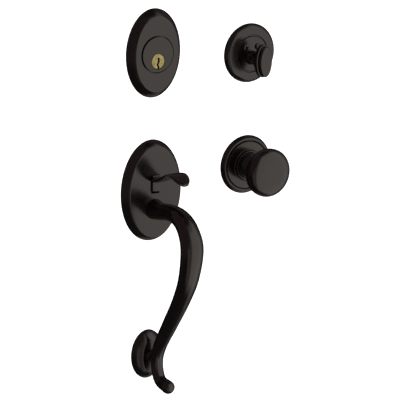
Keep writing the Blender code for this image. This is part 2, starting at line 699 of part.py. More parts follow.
def build_grip(unit, finish):
    """S-shaped grip: a spigot in the escutcheon, the bowed body, a lug in the lower rose and a curl."""
    rings = grip_rings()
    root_radius = GRIP_RADIUS * GRIP_LINE[0][2]
    seat = ESCUTCHEON_DEPTH + RUN
    foot = []
    for radius, out in ((GRIP_SPIGOT_RADIUS, STEEL_PLATE + RUN), (GRIP_SPIGOT_RADIUS, seat),
                        (root_radius + CHAMFER, seat)):
        scale = radius / root_radius
        foot.append([Vector((point.x * scale, -out, GRIP_ROOT_Z + (point.z - GRIP_ROOT_Z) * scale))
                     for point in rings[0]])
    grip = add_object("grip", skin("grip", foot + rings), unit, (0, 0, 0), finish)

    lug_out = next(out for out, z, _ in grip_line(2 * LINE_STEPS) if z <= LOWER_ROSE_Z)
    face = LOWER_ROSE_DEPTH + RUN
    lug = [(LUG_RADIUS, STEEL_PLATE + RUN), (LUG_RADIUS, face), (LUG_COLLAR_RADIUS, face),
           (LUG_COLLAR_RADIUS - CHAMFER, face + LUG_COLLAR / 2), (LUG_NECK_RADIUS, face + LUG_COLLAR),
           (LUG_NECK_RADIUS, lug_out)]
    join(grip, "lower_lug", turned("lower_lug", lug, PLAIN), (0, 0, LOWER_ROSE_Z))
    for name, z in (("root_bolt_bore", GRIP_ROOT_Z), ("lug_bolt_bore", LOWER_ROSE_Z)):
        bore = drilled(name, GRIP_BOLT_RADIUS + RUN, -PAST, STEEL_PLATE + GRIP_BOLT_GRIP, SMALL)
        cut(grip, name, bore, (0, 0, z))


def thumb_slot():
    """Half width, bottom and top of the opening that the thumb block swings in."""
    swing = math.radians(THUMB_SWING)
    front = ESCUTCHEON_DEPTH + THUMB_BLOCK_PROUD - THUMB_PIVOT_OUT
    fall = front * math.sin(swing) + THUMB_BLOCK_DROP * math.cos(swing)
    return (THUMB_BLOCK_WIDTH / 2 + FIT, THUMB_PIVOT_Z - fall - FIT,
            THUMB_PIVOT_Z + THUMB_BLOCK_RISE + 2 * FIT)


def build_escutcheon(unit, finish):
    """Oval plate of the grip, opened for the thumb block and bored for the grip's spigot."""
    depth = ESCUTCHEON_DEPTH
    outer = shoulder_line(ESCUTCHEON_SHOULDER, ESCUTCHEON_RIM, depth, ROUND_SHOULDER)
    mesh = oval_shell("handle_escutcheon", (ESCUTCHEON_WIDTH, ESCUTCHEON_HEIGHT), depth, outer)
    shell = add_object("handle_escutcheon", mesh, unit, (0, 0, 0), finish)
    slot = extruded("thumb_slot", rectangle(*thumb_slot()), -depth - PAST, PAST + PLATE_WALL - depth)
    cut(shell, "thumb_slot", slot)
    hole = drilled("spigot_hole", GRIP_SPIGOT_RADIUS + FIT, depth - PLATE_WALL - PAST, depth + PAST, PLAIN)
    cut(shell, "spigot_hole", hole, (0, 0, GRIP_ROOT_Z))


def build_lower_rose(unit, finish):
    """Small oval rose at the grip's lower foot."""
    outer = shoulder_line(LOWER_ROSE_SHOULDER, LOWER_ROSE_RIM, LOWER_ROSE_DEPTH, FLAT_SHOULDER)
    mesh = oval_shell("lower_rose", (LOWER_ROSE_WIDTH, LOWER_ROSE_HEIGHT), LOWER_ROSE_DEPTH, outer,
                      LUG_RADIUS + FIT)
    add_object("lower_rose", mesh, unit, (0, 0, LOWER_ROSE_Z), finish)


def build_foot_plate(unit, steel, name, size, z, bolt_z, bolt_name):
    """Flat oval steel plate inside a forged plate, and the bolt through it that holds the grip."""
    inset = PLATE_WALL + RUN
    rings = [oval(size[0] / 2 - inset, size[1] / 2 - inset, out, FINE) for out in (0.0, STEEL_PLATE)]
    plate = add_object(name, skin(name, rings), unit, (0, 0, z), steel)
    sink = [(GRIP_BOLT_HEAD_RADIUS + FIT, -PAST), (GRIP_BOLT_HEAD_RADIUS + FIT, GRIP_BOLT_HEAD + RUN),
            (GRIP_BOLT_RADIUS + FIT, GRIP_BOLT_HEAD + RUN), (GRIP_BOLT_RADIUS + FIT, STEEL_PLATE + PAST)]
    cut(plate, name + "_bolt_hole", turned(name + "_bolt_hole", sink, SMALL), (0, 0, bolt_z))
    bolt = [(GRIP_BOLT_HEAD_RADIUS, RUN), (GRIP_BOLT_HEAD_RADIUS, GRIP_BOLT_HEAD),
            (GRIP_BOLT_RADIUS, GRIP_BOLT_HEAD), (GRIP_BOLT_RADIUS, STEEL_PLATE + GRIP_BOLT_GRIP - RUN)]
    add_object(bolt_name, turned(bolt_name, bolt, SMALL), unit, (0, 0, bolt_z), steel)
    return plate


def build_handle_plate(unit, steel):
    """Steel plate behind the escutcheon, with a latch window, two ears for the pivot and two posts."""
    plate = build_foot_plate(unit, steel, "handle_back_plate", (ESCUTCHEON_WIDTH, ESCUTCHEON_HEIGHT), 0.0,
                             GRIP_ROOT_Z, "grip_root_bolt")
    ear_inner = EAR_GAP / 2
    reach = THUMB_LUG_RADIUS + 2 * FIT
    window = rectangle(ear_inner, THUMB_PIVOT_Z - reach, THUMB_PIVOT_Z + reach)
    cut(plate, "latch_window", extruded("latch_window", window, -STEEL_PLATE - PAST, PAST))
    tip = -THUMB_PIVOT_OUT - PIVOT_PIN_RADIUS - RUN - EAR_WALL
    ear = [(-STEEL_PLATE / 2, THUMB_PIVOT_Z - EAR_HALF), (tip, THUMB_PIVOT_Z - EAR_HALF / 2),
           (tip, THUMB_PIVOT_Z + EAR_HALF / 2), (-STEEL_PLATE / 2, THUMB_PIVOT_Z + EAR_HALF)]
    near = ear_inner + RUN
    far = near + EAR_THICKNESS
    for side_sign, name in ((-1, "left"), (1, "right")):
        join(plate, f"ear_{name}", extruded(f"ear_{name}", ear, side_sign * near, side_sign * far, "X"))
    span = far + PIVOT_PIN_END
    pin_hole = circle(-THUMB_PIVOT_OUT, THUMB_PIVOT_Z, PIVOT_PIN_RADIUS + RUN)
    cut(plate, "pin_hole", extruded("pin_hole", pin_hole, -span, span, "X"))
    pin = circle(-THUMB_PIVOT_OUT, THUMB_PIVOT_Z, PIVOT_PIN_RADIUS)
    add_object("thumb_pivot_pin", extruded("thumb_pivot_pin", pin, -span, span, "X"), unit, (0, 0, 0),
               steel)
    inner_end = ESCUTCHEON_HEIGHT / 2 - PLATE_WALL - ESCUTCHEON_SHOULDER
    for side_sign, name in ((1, "upper"), (-1, "lower")):
        place = (0, 0, side_sign * (inner_end - POST_WALL_GAP - POST_RADIUS))
        hole = drilled("post_hole", POST_SHANK_RADIUS + FIT, -PAST, STEEL_PLATE + PAST, SMALL)
        cut(plate, f"post_hole_{name}", hole, place)
        build_post(unit, steel, name, place)


def build_post(unit, steel, name, place):
    """Mounting post: its head lies between escutcheon and back plate, its tapped shank runs into the door."""
    seat = STEEL_PLATE + RUN
    profile = [(POST_RADIUS, ESCUTCHEON_DEPTH - PLATE_WALL - RUN), (POST_RADIUS, seat),
               (POST_SHANK_RADIUS, seat), (POST_SHANK_RADIUS, -POST_REACH)]
    post = add_object(f"{name}_mounting_post", turned("mounting_post", profile, SMALL), unit, place, steel)
    thread = drilled("post_thread", TAPPED_RADIUS, -POST_REACH - PAST, TAPPED_DEPTH - POST_REACH, SMALL)
    cut(post, f"post_thread_{name}", thread, place)


def build_lower_plate(unit, steel):
    build_foot_plate(unit, steel, "lower_back_plate", (LOWER_ROSE_WIDTH, LOWER_ROSE_HEIGHT), LOWER_ROSE_Z,
                     LOWER_ROSE_Z, "grip_lower_bolt")


def thumb_pad_rings():
    """Oval sections of the lever from its block to the dished pad and its rounded tip."""
    sizes = (THUMB_REACH, THUMB_RISE, THUMB_PAD_WIDTH / 2, THUMB_ROOT_THICKNESS / 2)
    points = [Vector([share * size for share, size in zip(shares, sizes)]) for shares in THUMB_LINE]
    line = smooth_points(points, LINE_STEPS)
    last = len(line) - 1
    turn = 2 * math.pi / TUBE
    rings = []
    for i, (out, up, wide, thick) in enumerate(line):
        ahead, behind = line[min(i + 1, last)], line[max(i - 1, 0)]
        along = Vector((0, behind[0] - ahead[0], ahead[1] - behind[1])).normalized()
        normal = Vector((1, 0, 0)).cross(along)
        centre = Vector((0, -out, up))
        rings.append([centre + Vector((wide * math.cos(k * turn), 0, 0))
                      + normal * thick * math.sin(k * turn) for k in range(TUBE)])
    for ahead, shrink in THUMB_TIP_ROUND:
        shift = along * THUMB_TIP * ahead
        rings.append([centre + (point - centre) * shrink + shift for point in rings[last]])
    return rings


def build_thumbpiece(unit, finish):
    """Thumb lever cast in one: pad, neck, the block in the slot, the pivot lug and the tail."""
    pivot = (0, -THUMB_PIVOT_OUT, THUMB_PIVOT_Z)
    half = THUMB_BLOCK_WIDTH / 2
    front = ESCUTCHEON_DEPTH + THUMB_BLOCK_PROUD - THUMB_PIVOT_OUT
    back = front - THUMB_BLOCK_WALL
    drop, rise, slope = THUMB_BLOCK_DROP, THUMB_BLOCK_RISE, THUMB_BLOCK_SLOPE
    block = [(-front, 2 * CHAMFER - drop), (2 * CHAMFER - front, -drop), (-back, -drop),
             (0.0, CHAMFER - THUMB_LUG_RADIUS), (0.0, rise), (slope - front, rise), (-front, rise - slope)]
    thumb = add_object("thumbpiece", extruded("thumbpiece", block, -half, half, "X"), unit, pivot, finish)
    join(thumb, "thumb_pad", skin("thumb_pad", thumb_pad_rings()), pivot)
    lug_half = THUMB_LUG_WIDTH / 2
    lug = extruded("thumb_lug", circle(0, 0, THUMB_LUG_RADIUS), -lug_half, lug_half, "X")
    join(thumb, "thumb_lug", lug, pivot)
    high = THUMB_TAIL_THICKNESS / 2
    tail = [(0.0, -high), (THUMB_TAIL_REACH, -high), (THUMB_TAIL_REACH, high), (0.0, high)]
    tail_half = THUMB_TAIL_WIDTH / 2
    join(thumb, "thumb_tail", extruded("thumb_tail", tail, -tail_half, tail_half, "X"), pivot)
    bore = circle(0, 0, PIVOT_PIN_RADIUS + RUN)
    cut(thumb, "thumb_bore", extruded("thumb_bore", bore, -half - PAST, half + PAST, "X"), pivot)


def build_thumb_spring(unit, steel):
    """Torsion spring on the pivot pin, beside the thumb block."""
    coil = PIVOT_PIN_RADIUS + 2 * RUN + TORSION_WIRE
    start = THUMB_BLOCK_WIDTH / 2 + RUN + TORSION_WIRE / 2
    travel = TORSION_WIRE * TORSION_PITCH * TORSION_TURNS
    path = []
    for i in range(TORSION_STEPS + 1):
        share = i / TORSION_STEPS
        angle = 2 * math.pi * TORSION_TURNS * share
        path.append(Vector((start + travel * share, coil * math.cos(angle), coil * math.sin(angle))))
    add_object("thumb_return_spring", wire("thumb_return_spring", path, TORSION_WIRE / 2), unit,
               (0, -THUMB_PIVOT_OUT, THUMB_PIVOT_Z), steel)


def build_handleset():
    clear_scene()
    bronze = make_material("oil_rubbed_bronze", BRONZE)
    brass = make_material("plain_brass", BRASS)
    steel = make_material("zinc_plated_steel", ZINC)
    nylon = make_material("black_nylon", NYLON)

    deadbolt = group("outside_deadbolt", 0.0, DEADBOLT_Z)
    build_rosette(deadbolt, bronze)
    build_cylinder(deadbolt, bronze)
    build_plug(deadbolt, brass, steel)

    turn = group("inside_turn", INSIDE_COLUMN_X, TURN_ROSE_Z)
    build_turn_rose(turn, bronze)
    build_turn_piece(turn, bronze, steel)

    knob = group("inside_knob", INSIDE_COLUMN_X, KNOB_Z)
    build_knob_rose(knob, bronze, nylon)
    build_knob(knob, bronze, steel)
    build_knob_plate(knob, steel)

    handle = group("outside_handle", 0.0, 0.0)
    build_escutcheon(handle, bronze)
    build_grip(handle, bronze)
    build_lower_rose(handle, bronze)
    build_handle_plate(handle, steel)
    build_lower_plate(handle, steel)
    build_thumbpiece(handle, bronze)
    build_thumb_spring(handle, steel)


build_handleset()
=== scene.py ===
# Entry door set in dark bronze: its looks, built round the fixed frame
import json
import math

import bpy
import numpy as np
from mathutils import Matrix


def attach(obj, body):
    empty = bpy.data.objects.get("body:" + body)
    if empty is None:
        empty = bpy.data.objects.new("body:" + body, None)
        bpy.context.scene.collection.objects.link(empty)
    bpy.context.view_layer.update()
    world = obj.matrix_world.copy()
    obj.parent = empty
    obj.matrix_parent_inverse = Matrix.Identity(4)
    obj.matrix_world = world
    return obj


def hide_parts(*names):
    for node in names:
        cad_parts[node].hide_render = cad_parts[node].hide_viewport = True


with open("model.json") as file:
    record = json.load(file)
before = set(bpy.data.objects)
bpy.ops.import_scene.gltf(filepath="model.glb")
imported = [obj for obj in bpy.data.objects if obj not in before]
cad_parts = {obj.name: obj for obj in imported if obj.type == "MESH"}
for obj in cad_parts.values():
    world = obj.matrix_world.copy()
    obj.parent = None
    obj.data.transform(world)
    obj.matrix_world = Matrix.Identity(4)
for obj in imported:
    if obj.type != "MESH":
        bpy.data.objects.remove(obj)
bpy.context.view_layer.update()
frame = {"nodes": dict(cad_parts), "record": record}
print("frame loaded:", len(frame["nodes"]), "nodes")


# sRGB hex to linear: c / 12.92 below 0.04045, else ((c + 0.055) / 1.055) to the power 2.4
def linearColor(hexText):
    c = np.array([int(hexText[i:i + 2], 16) for i in (1, 3, 5)]) / 255
    c = np.where(c <= 0.04045, c / 12.92, ((c + 0.055) / 1.055) ** 2.4)
    return (*c.tolist(), 1.0)


# one node: its own settings, the numbers on its sockets, and its links as input: (node, output)
def addNode(tree, kind, settings=None, values=None, links=None):
    node = tree.nodes.new(kind)
    for key, value in (settings or {}).items():
        setattr(node, key, value)
    for key, value in (values or {}).items():
        node.inputs[key].default_value = value
    for key, (source, output) in (links or {}).items():
        tree.links.new(source.outputs[output], node.inputs[key])
    return node


# points and faces become an object at the origin; the faces are turned round if the enclosed
# volume, a sixth of the sum of a . (b x c) over all triangles, comes out negative
def makeObject(name, points, faces):
    corners = np.array([(f[0], f[i], f[i + 1]) for f in faces for i in range(1, len(f) - 1)])
    a, b, c = (points[corners[:, i]] for i in range(3))
    if np.einsum("ij,ij->", a, np.cross(b, c)) < 0:
        faces = [f[::-1] for f in faces]
    mesh = bpy.data.meshes.new(name)
    mesh.from_pydata(points.tolist(), [], faces)
    mesh.update()
    obj = bpy.data.objects.new(name, mesh)
    bpy.context.scene.collection.objects.link(obj)
    return obj


# a grid of rows by columns: quads between neighbours, each row closed on itself;
# the ends are fans to the middle of the ring, unless the rows loop back too
def gridObject(name, grid, loop=False):
    rows, columns = grid.shape[:2]
    index = np.arange(rows * columns).reshape(rows, columns)
    beside = np.roll(index, -1, 1)
    above, aboveBeside = np.roll(index, -1, 0), np.roll(beside, -1, 0)
    quads = np.stack([index, beside, aboveBeside, above], -1)
    quads = (quads if loop else quads[:-1]).reshape(-1, 4)
    points, faces = grid.reshape(-1, 3), quads.tolist()
    if not loop:
        points = np.vstack([points, grid[0].mean(0), grid[-1].mean(0)])
        middle = np.full(columns, rows * columns)
        faces += np.stack([beside[0], index[0], middle], -1).tolist()
        faces += np.stack([index[-1], beside[-1], middle + 1], -1).tolist()
    return makeObject(name, points, faces)


# a flat outline carried from one place to another: two rings, side quads and two end faces
def prismObject(name, outline, start, end):
    outline = np.array(outline, float)
    count = len(outline)
    points = np.vstack([outline + start, outline + end])
    near = np.arange(count)
    beside = np.roll(near, -1)
    faces = np.stack([near, beside, beside + count, near + count], -1).tolist()
    faces += [near[::-1].tolist(), (near + count).tolist()]
    return makeObject(name, points, faces)


# the four corners of an upright box outline, from left to right and from low to high
def boxOutline(left, right, low, high):
    return [(left, 0.0, low), (right, 0.0, low), (right, 0.0, high), (left, 0.0, high)]


# every inner corner b of a line between a and c becomes the curve
# (1 - t)^2 p + 2 t (1 - t) b + t^2 q, with p and q set back by the radius towards a and c,
# and one more point is held just beyond p and q so that flat stretches stay flat
def softened(line, radius, steps=7, loop=False):
    line = np.array(line, float)
    corner = line if loop else line[1:-1]
    before = np.roll(line, 1, 0) if loop else line[:-2]
    after = np.roll(line, -1, 0) if loop else line[2:]
    radius = np.broadcast_to(np.asarray(radius, float), len(corner))[:, None]
    backLength = np.linalg.norm(before - corner, axis=1, keepdims=True)
    onLength = np.linalg.norm(after - corner, axis=1, keepdims=True)
    back = (before - corner) / backLength * np.minimum(radius, 0.4 * backLength)
    on = (after - corner) / onLength * np.minimum(radius, 0.4 * onLength)
    t = np.linspace(0, 1, steps)[None, :, None]
    curve = corner[:, None] + (1 - t) ** 2 * back[:, None] + t ** 2 * on[:, None]
    held = np.concatenate([corner[:, None] + 1.15 * back[:, None], curve,
                           corner[:, None] + 1.15 * on[:, None]], 1)
    curve = held.reshape(-1, line.shape[1])
    return curve if loop else np.vstack([line[:1], curve, line[-1:]])


# rings of (centre x, centre z, half width, half height, out) become a grid:
# x = cx + hw cos u, y = -out, z = cz + hh sin u
def ringGrid(rings, around=160):
    cx, cz, hw, hh, out = (np.array(rings, float)[:, i:i + 1] for i in range(5))
    u = (np.arange(around) + 0.5) / around * 2 * math.pi
    return np.stack([cx + hw * np.cos(u), -out + 0 * u, cz + hh * np.sin(u)], -1)


# a profile of (radius, out) turned about an axis through (x, z)
def turnedRings(profile, x=0.0, z=0.0):
    profile = np.array(profile, float)
    radius, out = profile[:, :1], profile[:, 1:]
    return np.hstack([0 * radius + x, 0 * radius + z, radius, radius, out])


# what an object's modifiers make of it becomes its mesh, and they go
def keepResult(obj):
    bpy.context.view_layer.update()
    graph = bpy.context.evaluated_depsgraph_get()
    mesh = bpy.data.meshes.new_from_object(obj.evaluated_get(graph))
    obj.modifiers.clear()
    obj.data = mesh


# how far a cutter stands past the face that it opens
past = 0.001


# takes the cutter away from the object, or joins it on, and removes it
def carve(obj, cutter, operation="DIFFERENCE"):
    modifier = obj.modifiers.new("carve", "BOOLEAN")
    modifier.operation, modifier.solver, modifier.object = operation, "EXACT", cutter
    keepResult(obj)
    bpy.data.objects.remove(cutter)


# a plain round cutter along y
def drill(x, z, radius, lowOut, highOut, around=40):
    profile = [(radius, highOut), (radius, lowOut)]
    return gridObject("drill", ringGrid(turnedRings(profile, x, z), around))


# points of a circle square to x: y = middle + r cos u, z = middle + r sin u
def sideCircle(x, y, z, radius, count=48, shift=0.5):
    u = (np.arange(count) + shift) / count * 2 * math.pi
    return np.stack([0 * u + x, y + radius * np.cos(u), z + radius * np.sin(u)], -1)


# the points after and before each point of a line; at its ends the point itself stands in
def neighbours(line):
    return np.vstack([line[1:], line[-1:]]), np.vstack([line[:1], line[:-1]])


# rounds an object's edges with a bevel and keeps the result
def bevelled(obj, width, segments=3, angle=30):
    modifier = obj.modifiers.new("round", "BEVEL")
    modifier.width, modifier.segments = width, segments
    modifier.limit_method, modifier.angle_limit = "ANGLE", math.radians(angle)
    keepResult(obj)
    return obj


# one value of all items as an array, a row for each item
def readArray(items, key, width, kind):
    values = np.empty(len(items) * width, kind)
    items.foreach_get(key, values)
    return values.reshape(-1, width)


# wear of a point: the sharpest convex turn of the surface there, in radians per mm,
# from 0 where it bends slower than dull to 1 where it bends faster than keen
def markWear(obj, dull=0.25, keen=1.3):
    mesh = obj.data
    normal = readArray(mesh.polygons, "normal", 3, float)
    centre = readArray(mesh.polygons, "center", 3, float)
    total = readArray(mesh.polygons, "loop_total", 1, int)[:, 0]
    loopEdge = readArray(mesh.loops, "edge_index", 1, int)[:, 0]
    ends = readArray(mesh.edges, "vertices", 2, int)
    face = np.repeat(np.arange(len(total)), total)
    order = np.argsort(loopEdge, kind="stable")
    first = np.flatnonzero(loopEdge[order][:-1] == loopEdge[order][1:])
    edge, a, b = loopEdge[order][first], face[order][first], face[order][first + 1]
    turn = np.arccos(np.clip(np.einsum("ij,ij->i", normal[a], normal[b]), -1, 1))
    apart = centre[b] - centre[a]
    convex = np.einsum("ij,ij->i", normal[b] - normal[a], apart) > 0
    sharp = np.where(convex, turn / np.maximum(np.linalg.norm(apart, axis=1) * 1000, 0.05), 0)
    wear = np.zeros(len(mesh.vertices))
    np.maximum.at(wear, ends[edge].ravel(), np.repeat(sharp, 2))
    wear = np.clip((wear - dull) / (keen - dull), 0, 1)
    attribute = mesh.attributes.new("wear", "FLOAT", "POINT")
    attribute.data.foreach_set("value", wear.astype(np.float32))


# last steps of every piece: smooth faces, edges crisp above an angle, wear, the slot's finish,
# the body it rides on and the node it stands for
def finishPiece(obj, body, node, slot="bronze_finish", crisp=38):
    obj.data.shade_smooth()
    obj.data.set_sharp_from_angle(angle=math.radians(crisp))
    markWear(obj)
    obj.data.materials.clear()
    obj.data.materials.append(slotFinish[slot])
    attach(obj, body)
    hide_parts(node)
    print("piece:", obj.name, len(obj.data.polygons), "faces")


# a curve through all points: each span is the cubic that leaves a point along its neighbours' chord
def throughPoints(points, steps):
    p = np.array(points, float)
    p = np.vstack([2 * p[0] - p[1], p, 2 * p[-1] - p[-2]])
    p0, p1, p2, p3 = (p[i:len(p) - 3 + i, None] for i in range(4))
    t = (np.arange(steps) / steps)[None, :, None]
    curve = 0.5 * (2 * p1 + (p2 - p0) * t + (2 * p0 - 5 * p1 + 4 * p2 - p3) * t ** 2
                   + (3 * p1 - p0 - 3 * p2 + p3) * t ** 3)
    return np.vstack([curve.reshape(-1, p.shape[1]), p[-2]])


# a new material with its node tree, its shader and the coordinates that its patterns use
def startMaterial(name):
    material = bpy.data.materials.new(name)
    material.use_nodes = True
    tree = material.node_tree
    return material, tree, tree.nodes["Principled BSDF"], addNode(tree, "ShaderNodeTexCoord")


# Oil-rubbed bronze: forged brass, darkened and sprayed with a satin clear lacquer. The eye sees
# an almost black brown with a soft sheen, faint cloudy patches and a warm rub on the edges
bronze = dict(deep="#070405", cloud="#0b0707", rub="#4b2e22", cloudSize=0.014, grainSize=0.0009,
              rubShare=0.30, smooth=0.18, rough=0.23, peel=0.00001, peelStrength=0.35, ior=1.62,
              tint=(1.0, 0.91, 0.83, 1.0))


def makeBronze():
    material, tree, shader, place = startMaterial("oilRubbedBronze")
    cloud = addNode(tree, "ShaderNodeTexNoise", None,
                    {"Scale": 1 / bronze["cloudSize"], "Detail": 4.0, "Roughness": 0.55},
                    {"Vector": (place, "Object")})
    grain = addNode(tree, "ShaderNodeTexNoise", None,
                    {"Scale": 1 / bronze["grainSize"], "Detail": 3.0, "Roughness": 0.5},
                    {"Vector": (place, "Object")})
    tone = addNode(tree, "ShaderNodeMapRange", None,
                   {"From Min": 0.35, "From Max": 0.65}, {"Value": (cloud, "Fac")})
    brown = addNode(tree, "ShaderNodeMix", {"data_type": "RGBA"},
                    {6: linearColor(bronze["deep"]), 7: linearColor(bronze["cloud"])},
                    {0: (tone, "Result")})
    wear = addNode(tree, "ShaderNodeAttribute", {"attribute_name": "wear"})
    patchy = addNode(tree, "ShaderNodeMapRange", None,
                     {"From Min": 0.42, "From Max": 0.62, "To Max": bronze["rubShare"]},
                     {"Value": (grain, "Fac")})
    rubbed = addNode(tree, "ShaderNodeMath", {"operation": "MULTIPLY"}, None,
                     {0: (wear, "Fac"), 1: (patchy, "Result")})
    color = addNode(tree, "ShaderNodeMix", {"data_type": "RGBA"},
                    {7: linearColor(bronze["rub"])}, {0: (rubbed, 0), 6: (brown, 2)})
    sheen = addNode(tree, "ShaderNodeMapRange", None,
                    {"From Min": 0.3, "From Max": 0.7, "To Min": bronze["smooth"],
                     "To Max": bronze["rough"]}, {"Value": (cloud, "Fac")})
    peel = addNode(tree, "ShaderNodeBump", None,
                   {"Strength": bronze["peelStrength"], "Distance": bronze["peel"]},
                   {"Height": (grain, "Fac")})
    tree.links.new(color.outputs[2], shader.inputs["Base Color"])
    tree.links.new(sheen.outputs[0], shader.inputs["Roughness"])
    tree.links.new(peel.outputs[0], shader.inputs["Normal"])
    shader.inputs["IOR"].default_value = bronze["ior"]
    shader.inputs["Specular Tint"].default_value = bronze["tint"]
    return material


# Plain brass of the plug: turned on a lathe and left unplated, so it is yellow, a little dull,
# with fine rings round its own axis and a darker tarnish in cloudy patches; below the face the
# walls of the keyway are painted near black, a painted shade for the shade that falls in there
brass = dict(bright="#ab9c6a", dull="#90824f", tarnishSize=0.0035, ringPitch=0.00045, rough=0.34,
             # the near-black colour, and the depths below the face where it starts and where it is
             # full: painted shade for the keyway
             latheDepth=0.00001, x=0.0, z=0.1447, keywayShade="#17110a", faceOut=0.0110,
             keywayShadeStart=0.0003, keywayShadeDepth=0.0009)


def makeBrass():
    material, tree, shader, place = startMaterial("turnedBrass")
    centred = addNode(tree, "ShaderNodeMapping", None, {"Location": (-brass["x"], 0, -brass["z"])},
                      {"Vector": (place, "Object")})
    tarnish = addNode(tree, "ShaderNodeTexNoise", None,
                      {"Scale": 1 / brass["tarnishSize"], "Detail": 4.0},
                      {"Vector": (place, "Object")})
    rings = addNode(tree, "ShaderNodeTexWave",
                    {"wave_type": "RINGS", "rings_direction": "Y", "wave_profile": "SIN"},
                    {"Scale": 0.314 / brass["ringPitch"], "Distortion": 0.6, "Detail": 1.0},
                    {"Vector": (centred, "Vector")})
    share = addNode(tree, "ShaderNodeMapRange", None, {"From Min": 0.42, "From Max": 0.68},
                    {"Value": (tarnish, "Fac")})
    color = addNode(tree, "ShaderNodeMix", {"data_type": "RGBA"},
                    {6: linearColor(brass["bright"]), 7: linearColor(brass["dull"])},
                    {0: (share, "Result")})
    rough = addNode(tree, "ShaderNodeMapRange", None,
                    {"To Min": brass["rough"] - 0.05, "To Max": brass["rough"] + 0.08},
                    {"Value": (tarnish, "Fac")})
    lathe = addNode(tree, "ShaderNodeBump", None,
                    {"Strength": 0.25, "Distance": brass["latheDepth"]}, {"Height": (rings, "Fac")})
    # painted shade: below the face the brass is mixed to near black, darkening the keyway's walls
    # where shade falls
    axes = addNode(tree, "ShaderNodeSeparateXYZ", None, None, {"Vector": (place, "Object")})
    inside = addNode(tree, "ShaderNodeMapRange", None,
                     {"From Min": brass["keywayShadeStart"] - brass["faceOut"],
                      "From Max": brass["keywayShadeDepth"] - brass["faceOut"]},
                     {"Value": (axes, "Y")})
    keywayShaded = addNode(tree, "ShaderNodeMix", {"data_type": "RGBA"}, {7: linearColor(brass["keywayShade"])},
                     {0: (inside, "Result"), 6: (color, 2)})
    tree.links.new(keywayShaded.outputs[2], shader.inputs["Base Color"])
    tree.links.new(rough.outputs[0], shader.inputs["Roughness"])
    tree.links.new(lathe.outputs[0], shader.inputs["Normal"])
    shader.inputs["Metallic"].default_value = 1.0
    return material


# Zinc plated steel: pressed and turned, then barrel plated. It is pale grey with fine drawn
# streaks along the sheet and a faint blue to straw tint from its passivation
zinc = dict(blue="#b4bac2", straw="#c2bba8", tintSize=0.011, streak=0.0007, rough=0.36)


def makeZinc():
    material, tree, shader, place = startMaterial("zincPlatedSteel")
    tint = addNode(tree, "ShaderNodeTexNoise", None, {"Scale": 1 / zinc["tintSize"], "Detail": 3.0},
                   {"Vector": (place, "Object")})
    drawn = addNode(tree, "ShaderNodeMapping", None, {"Scale": (1.0, 1.0, 0.06)},
                    {"Vector": (place, "Object")})
    streak = addNode(tree, "ShaderNodeTexNoise", None, {"Scale": 1 / zinc["streak"], "Detail": 2.0},
                     {"Vector": (drawn, "Vector")})
    color = addNode(tree, "ShaderNodeMix", {"data_type": "RGBA"},
                    {6: linearColor(zinc["blue"]), 7: linearColor(zinc["straw"])},
                    {0: (tint, "Fac")})
    rough = addNode(tree, "ShaderNodeMapRange", None,
                    {"From Min": 0.3, "From Max": 0.7, "To Min": zinc["rough"] - 0.08,
                     "To Max": zinc["rough"] + 0.1}, {"Value": (streak, "Fac")})
    ridges = addNode(tree, "ShaderNodeBump", None, {"Strength": 0.2, "Distance": 0.00001},
                     {"Height": (streak, "Fac")})
    tree.links.new(color.outputs[2], shader.inputs["Base Color"])
    tree.links.new(rough.outputs[0], shader.inputs["Roughness"])
    tree.links.new(ridges.outputs[0], shader.inputs["Normal"])
    shader.inputs["Metallic"].default_value = 1.0
    return material


# Black nylon of the knob's bearing: injection moulded, matt, with a fine spark texture
nylon = dict(dark="#0c0c0d", light="#19191b", grain=0.0006, rough=0.5)


def makeNylon():
    material, tree, shader, place = startMaterial("mouldedNylon")
    grain = addNode(tree, "ShaderNodeTexNoise", None, {"Scale": 1 / nylon["grain"], "Detail": 2.0},
                    {"Vector": (place, "Object")})
    color = addNode(tree, "ShaderNodeMix", {"data_type": "RGBA"},
                    {6: linearColor(nylon["dark"]), 7: linearColor(nylon["light"])},
                    {0: (grain, "Fac")})
    spark = addNode(tree, "ShaderNodeBump", None, {"Strength": 0.4, "Distance": 0.00002},
                    {"Height": (grain, "Fac")})
    tree.links.new(color.outputs[2], shader.inputs["Base Color"])
    tree.links.new(spark.outputs[0], shader.inputs["Normal"])
    shader.inputs["Roughness"].default_value = nylon["rough"]
    return material


# each slot of the record with its finish
slotFinish = dict(bronze_finish=makeBronze(), plain_brass=makeBrass(), zinc_steel=makeZinc(),
                  nylon=makeNylon())
print("finishes made")


# forged oval plates of the outside trim: each outline, its shoulder and the hole in its face
plates = dict(
    deadboltPlate=dict(x=0.0, z=0.1521, width=0.0687, height=0.0977, depth=0.0095, rim=0.0008,
                       shoulder=0.0076, slopes=(36, 56), hole=0.0204, edge=0.0011),
    gripPlate=dict(x=0.0, z=0.0, width=0.0753, height=0.1136, depth=0.0110, rim=0.0020,
                   shoulder=0.0058, slopes=(18, 60), hole=None, edge=0.0013),
    footRose=dict(x=0.0, z=-0.1886, width=0.0408, height=0.0566, depth=0.0100, rim=0.0020,
                  shoulder=0.0100, slopes=(30, 64), hole=0.0064, edge=0.0014),
)
shell = dict(wall=0.0028, crease=0.0003, holeEdge=0.0004, faceStart=0.35)


# up the side of a plate the slope a turns evenly from rim to face: inset goes with cos a
# and height with sin a, both scaled to the shoulder's size
def shoulderLine(s, steps=14):
    first, last = np.radians(s["slopes"])
    a = np.linspace(first, last, steps + 1)
    inset = s["shoulder"] * (np.cos(first) - np.cos(a)) / (np.cos(first) - np.cos(last))
    rise = (np.sin(a) - np.sin(first)) / (np.sin(last) - np.sin(first))
    return np.stack([inset, s["rim"] + (s["depth"] - s["rim"]) * rise], -1)


